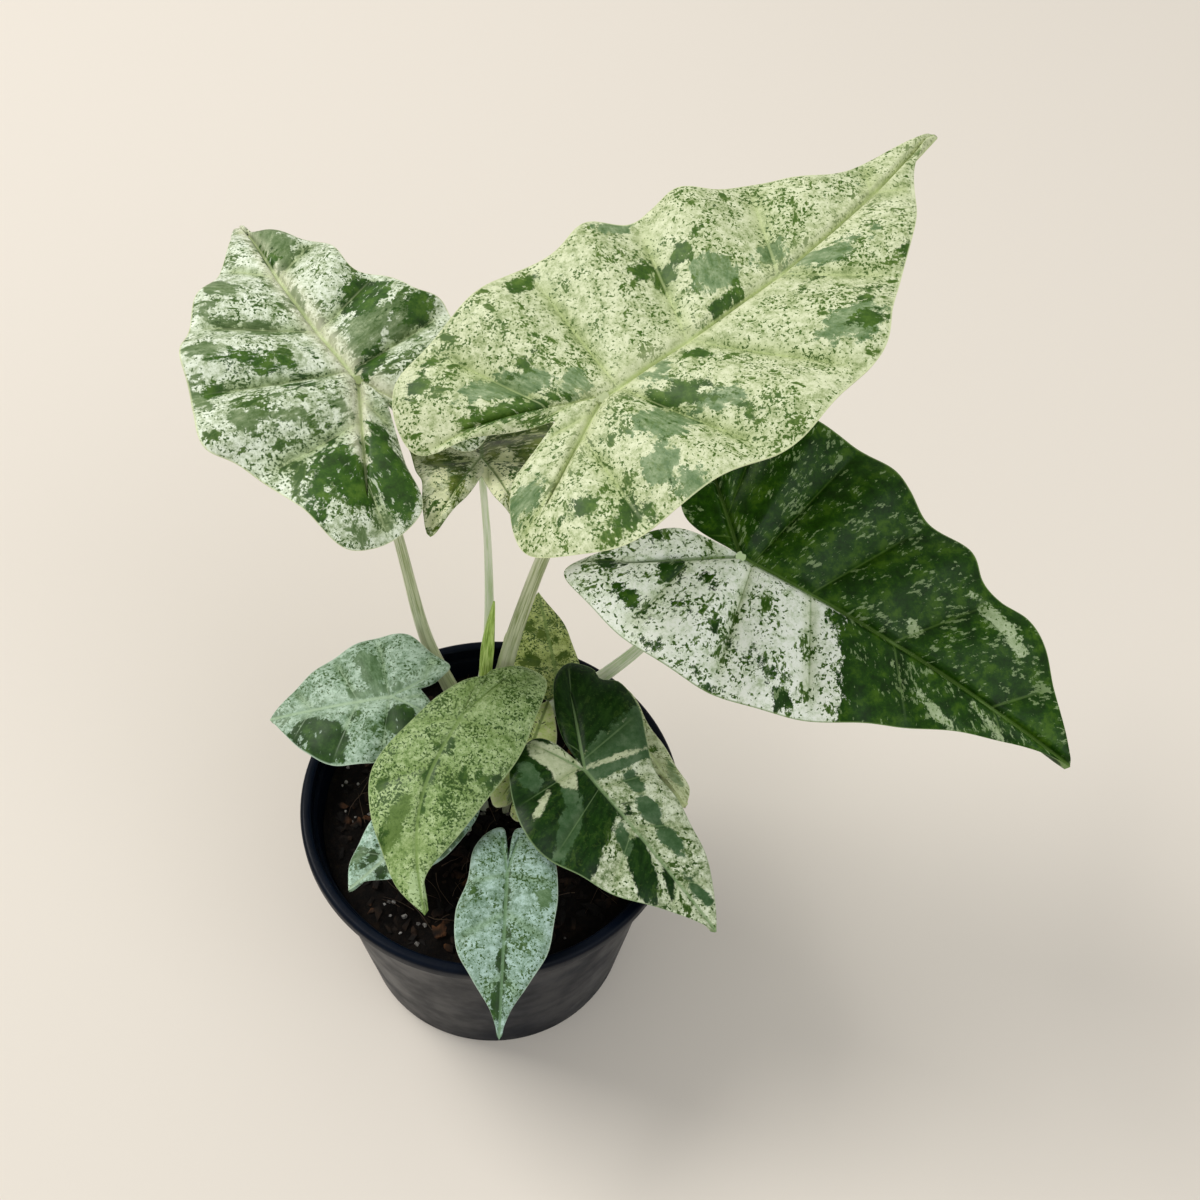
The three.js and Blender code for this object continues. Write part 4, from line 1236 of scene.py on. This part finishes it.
LEAF_8 = dict(
    joint=(0.036, -0.003, 0.142), heading=315, pitch=-12,
    length=0.077, notch=(-0.004, 0),
    left=[
        (0.059, 0.013), (0.037, 0.02), (0.017, 0.022), (0.007, 0.026), (-0.006, 0.034), (-0.019, 0.035),
        (-0.025, 0.03), (-0.031, 0.031), (-0.039, 0.026), (-0.037, 0.017), (-0.027, 0.008), (-0.015, 0.002),
    ],
    right=[
        (0.061, -0.009), (0.047, -0.02), (0.031, -0.028), (0.012, -0.035), (-0.004, -0.031),
        (-0.018, -0.022), (-0.022, -0.008), (-0.015, -0.002),
    ],
    half_width=0.03, tip_drop=0.005, lobe=0.035, lobe_drop=0.004,
    rise=(0.002, 0.002), waves=6, wave=0.001, puff=0.0018,
    rows=120, columns=16,
    foot=(0.024, -0.006), bends=[(0.028, -0.006, 0.118)],
    stalk=(0.0028, 0.0013),
    patches=[
        sector("sage", LEFT, 0.63, 1), sector("dark", LEFT, 0.5, 0.64),
        pale(0.003, 0.01, 0.0011, 0.012, -18), sector("sage", RIGHT, 0.35, 0.88),
        pale(-0.011, -0.007, 0.011, 0.005, 25), pale(-0.002, -0.008, 0.006, 0.004),
        dark(0.014, -0.02, 0.013, 0.004, -55), dark(-0.01, -0.019, 0.007, 0.004, -10),
        dark(0.004, -0.012, 0.005, 0.003, -40), pale(0.001, -0.022, 0.006, 0.0016, -60),
        dark(0.027, 0.009, 0.006, 0.004), dark(0.04, 0.008, 0.008, 0.0035),
        sage(0.022, 0.003, 0.0025, 0.0015), dark(0.03, -0.006, 0.006, 0.003, -30),
        sage(0.043, -0.008, 0.014, 0.0048, -25), sage(0.052, -0.003, 0.006, 0.002, -20),
        dark(0.062, 0.004, 0.008, 0.0025), dark(0.015, 0.012, 0.005, 0.003),
    ],
)
leaf_pieces(8, LEAF_8, BANDED_LOOK, "leaf_dark", green_stem)


# Leaf 9, at the right under leaf 3: narrow, cream and green, seen nearly from its edge. Its thin
# stalk leans to the right.
SHADED_LOOK = dict(
    CREAM_LOOK,
    ground=shades((214, 222, 184), (182, 194, 148), (140, 154, 104)), margin_from=0.96,
    fleck=shades((128, 144, 84), (84, 104, 44)), under=paint(180, 192, 150), ragged=0.002,
)
SMALL_LEAF = dict(rise=(0.002, 0.002), waves=4, wave=0.0005, puff=0.0005, rows=80, columns=12)
LEAF_9 = dict(
    SMALL_LEAF,
    joint=(0.047, 0.034, 0.13), heading=307, pitch=-6,
    length=0.049, notch=(-0.005, 0),
    left=[
        (0.043, 0.006), (0.033, 0.0065), (0.024, 0.007), (0.012, 0.007), (0.001, 0.0085), (-0.006, 0.008),
        (-0.009, 0.004),
    ],
    right=[
        (0.044, 0.0015), (0.038, 0.0005), (0.032, -0.002), (0.024, -0.007), (0.012, -0.011), (0, -0.012),
        (-0.008, -0.01), (-0.01, -0.005),
    ],
    half_width=0.013, tip_drop=0.004, lobe=0.015, lobe_drop=0.003,
    foot=(0.031, 0.021), bends=[(0.037, 0.026, 0.114)],
    stalk=(0.002, 0.0009),
    patches=[
        dark(0.023, 0.002, 0.002, 0.0015), sage(0.036, 0.003, 0.005, 0.002),
    ],
)
leaf_pieces(9, LEAF_9, SHADED_LOOK, "leaf_cream", pale_stem)


# Leaf 10, low at the front left over the soil: mint green, partly under leaf 6. Its stalk is the
# shortest, so that the blade lies just over the soil.
COOL_LOOK = dict(
    MINT_LOOK,
    ground=shades((206, 230, 218), (172, 204, 186), (134, 168, 146), (92, 124, 96)),
)
LEAF_10 = dict(
    SMALL_LEAF,
    joint=(-0.019, -0.014, 0.121), heading=228, pitch=-3,
    length=0.045, notch=(-0.004, 0),
    left=[
        (0.038, 0.002), (0.03, 0.008), (0.02, 0.0135), (0.009, 0.0155), (-0.002, 0.014), (-0.012, 0.01),
        (-0.015, 0.004),
    ],
    right=[
        (0.038, -0.008), (0.03, -0.012), (0.02, -0.016), (0.009, -0.017), (-0.002, -0.015),
        (-0.012, -0.011), (-0.015, -0.005),
    ],
    half_width=0.017, tip_drop=0.001, lobe=0.016, lobe_drop=0.002,
    foot=(-0.009, -0.008), bends=[(-0.013, -0.01, 0.112)],
    stalk=(0.002, 0.001),
    patches=[
        dark(0.031, 0.003, 0.004, 0.002), dark(0.029, -0.004, 0.004, 0.002),
        sage(0.036, -0.009, 0.006, 0.002, -20), sage(0.005, 0.014, 0.006, 0.0015),
    ],
)
leaf_pieces(10, LEAF_10, COOL_LOOK, "leaf_mint", pale_stem)


# Leaf 11, at the back behind the thickest stalk: olive green, blotched with deep green, on a
# short stalk that leans forward.
OLIVE_LOOK = dict(
    LIME_LOOK,
    ground=shades((206, 216, 144), (172, 186, 108), (128, 146, 64)), stipple=0.003,
    dark=shades((96, 118, 36), (66, 92, 16)), dark_spread=(0.012, 0.62),
    margin=paint(150, 166, 100),
)
LEAF_11 = dict(
    SMALL_LEAF,
    joint=(0.022, 0.046, 0.132), heading=105, pitch=8,
    length=0.04, notch=(-0.004, 0),
    left=[
        (0.036, 0.004), (0.028, 0.012), (0.02, 0.018), (0.01, 0.02), (0, 0.016), (-0.007, 0.01),
        (-0.01, 0.004),
    ],
    right=[
        (0.035, -0.002), (0.025, -0.007), (0.014, -0.009), (0.005, -0.01), (-0.003, -0.01),
        (-0.009, -0.008), (-0.011, -0.004),
    ],
    half_width=0.018, tip_drop=0.002, lobe=0.012, lobe_drop=0.002,
    foot=(0.019, 0.054), bends=[(0.02, 0.051, 0.115)],
    stalk=(0.002, 0.001),
    patches=[
        dark(0.008, 0.008, 0.004, 0.002, 20), dark(0.022, -0.004, 0.002, 0.0015),
        dark(0.007, 0.013, 0.003, 0.002), dark(0.008, -0.003, 0.002, 0.004),
    ],
)
leaf_pieces(11, LEAF_11, OLIVE_LOOK, "leaf_lime", green_stem)


# Leaf 12, the smallest, in the middle of the pot: lime green with a pale rim, on a short thin
# stalk.
YOUNG_LOOK = dict(
    LIME_LOOK,
    ground=shades((250, 255, 200), (236, 252, 164), (210, 236, 128)), margin=paint(246, 254, 206),
    margin_from=0.93, specks=(0.0012, 0.68),
)
LEAF_12 = dict(
    SMALL_LEAF,
    joint=(0.012, 0.005, 0.126), heading=78, pitch=-5,
    length=0.036, notch=(-0.014, 0),
    left=[
        (0.03, 0.005), (0.02, 0.009), (0.009, 0.011), (-0.002, 0.012), (-0.012, 0.01), (-0.019, 0.006),
        (-0.017, 0.002),
    ],
    right=[
        (0.03, -0.004), (0.02, -0.008), (0.009, -0.01), (-0.002, -0.011), (-0.012, -0.01), (-0.022, -0.006),
        (-0.02, -0.001),
    ],
    half_width=0.014, tip_drop=0.001, lobe=0.02, lobe_drop=0.002, puff=0.0004,
    foot=(0.005, 0.001), bends=[(0.008, 0.003, 0.111)],
    stalk=(0.002, 0.001),
    patches=[
        pale(-0.012, 0.001, 0.008, 0.0015),
    ],
)
leaf_pieces(12, LEAF_12, YOUNG_LOOK, "leaf_lime", green_stem)


# The newest leaf: a pointed spear, still rolled up, that rises beside the stalk of leaf 4. Its
# free edge shows as a seam that winds slowly up it.
SPEAR_BASE = 0.0022
SPEAR_MIDDLE = 0.0026
SPEAR_POINT = 0.0004
SPEAR_WIDEST = 0.7  # of the way up
SPEAR_FOOT = (-0.009, 0.031)
SPEAR_BENDS = [(-0.006, 0.038, 0.138), (-0.004, 0.041, 0.165), (-0.002, 0.042, 0.184)]
SPEAR_STEPS = 70
SPEAR_SIDES = 40
SEAM_TURNS = 0.6  # that the seam makes round the spear
SEAM_STEP = 0.16  # of the radius, that the free edge stands out


def spear_radius(way, angle):
    if way < SPEAR_WIDEST:
        radius = SPEAR_BASE + (SPEAR_MIDDLE - SPEAR_BASE) * way / SPEAR_WIDEST
    else:
        share = ((way - SPEAR_WIDEST) / (1 - SPEAR_WIDEST)) ** 1.5
        radius = SPEAR_MIDDLE + (SPEAR_POINT - SPEAR_MIDDLE) * share
    turned = (angle / math.tau - way * SEAM_TURNS) % 1
    return radius * (0.9 + SEAM_STEP * turned)


spear_places = [(*SPEAR_FOOT, SOIL_LEVEL - STALK_DEPTH), (*SPEAR_FOOT, SOIL_LEVEL), *SPEAR_BENDS]
spear_route = smooth_route([Vector(p) for p in spear_places], SPEAR_STEPS)
spear = swept("rolled_leaf", spear_route, spear_radius, SPEAR_SIDES)
fresh_green, tree, shader = new_material("fresh_green")
streak = noise(tree, squeezed(tree, uv_of(tree, "around"), 0.4), 0.05, 5, 0.7)
fresh = tones(tree, streak, shades((226, 246, 160), (196, 226, 124), (156, 192, 84), (118, 146, 52)))
set_inputs(tree, shader, Base_Color=fresh, Roughness=0.4, Normal=bump(tree, streak, 0.2, 0.0004))
settle(spear, [fresh_green], "spear", "new_leaf_spear")
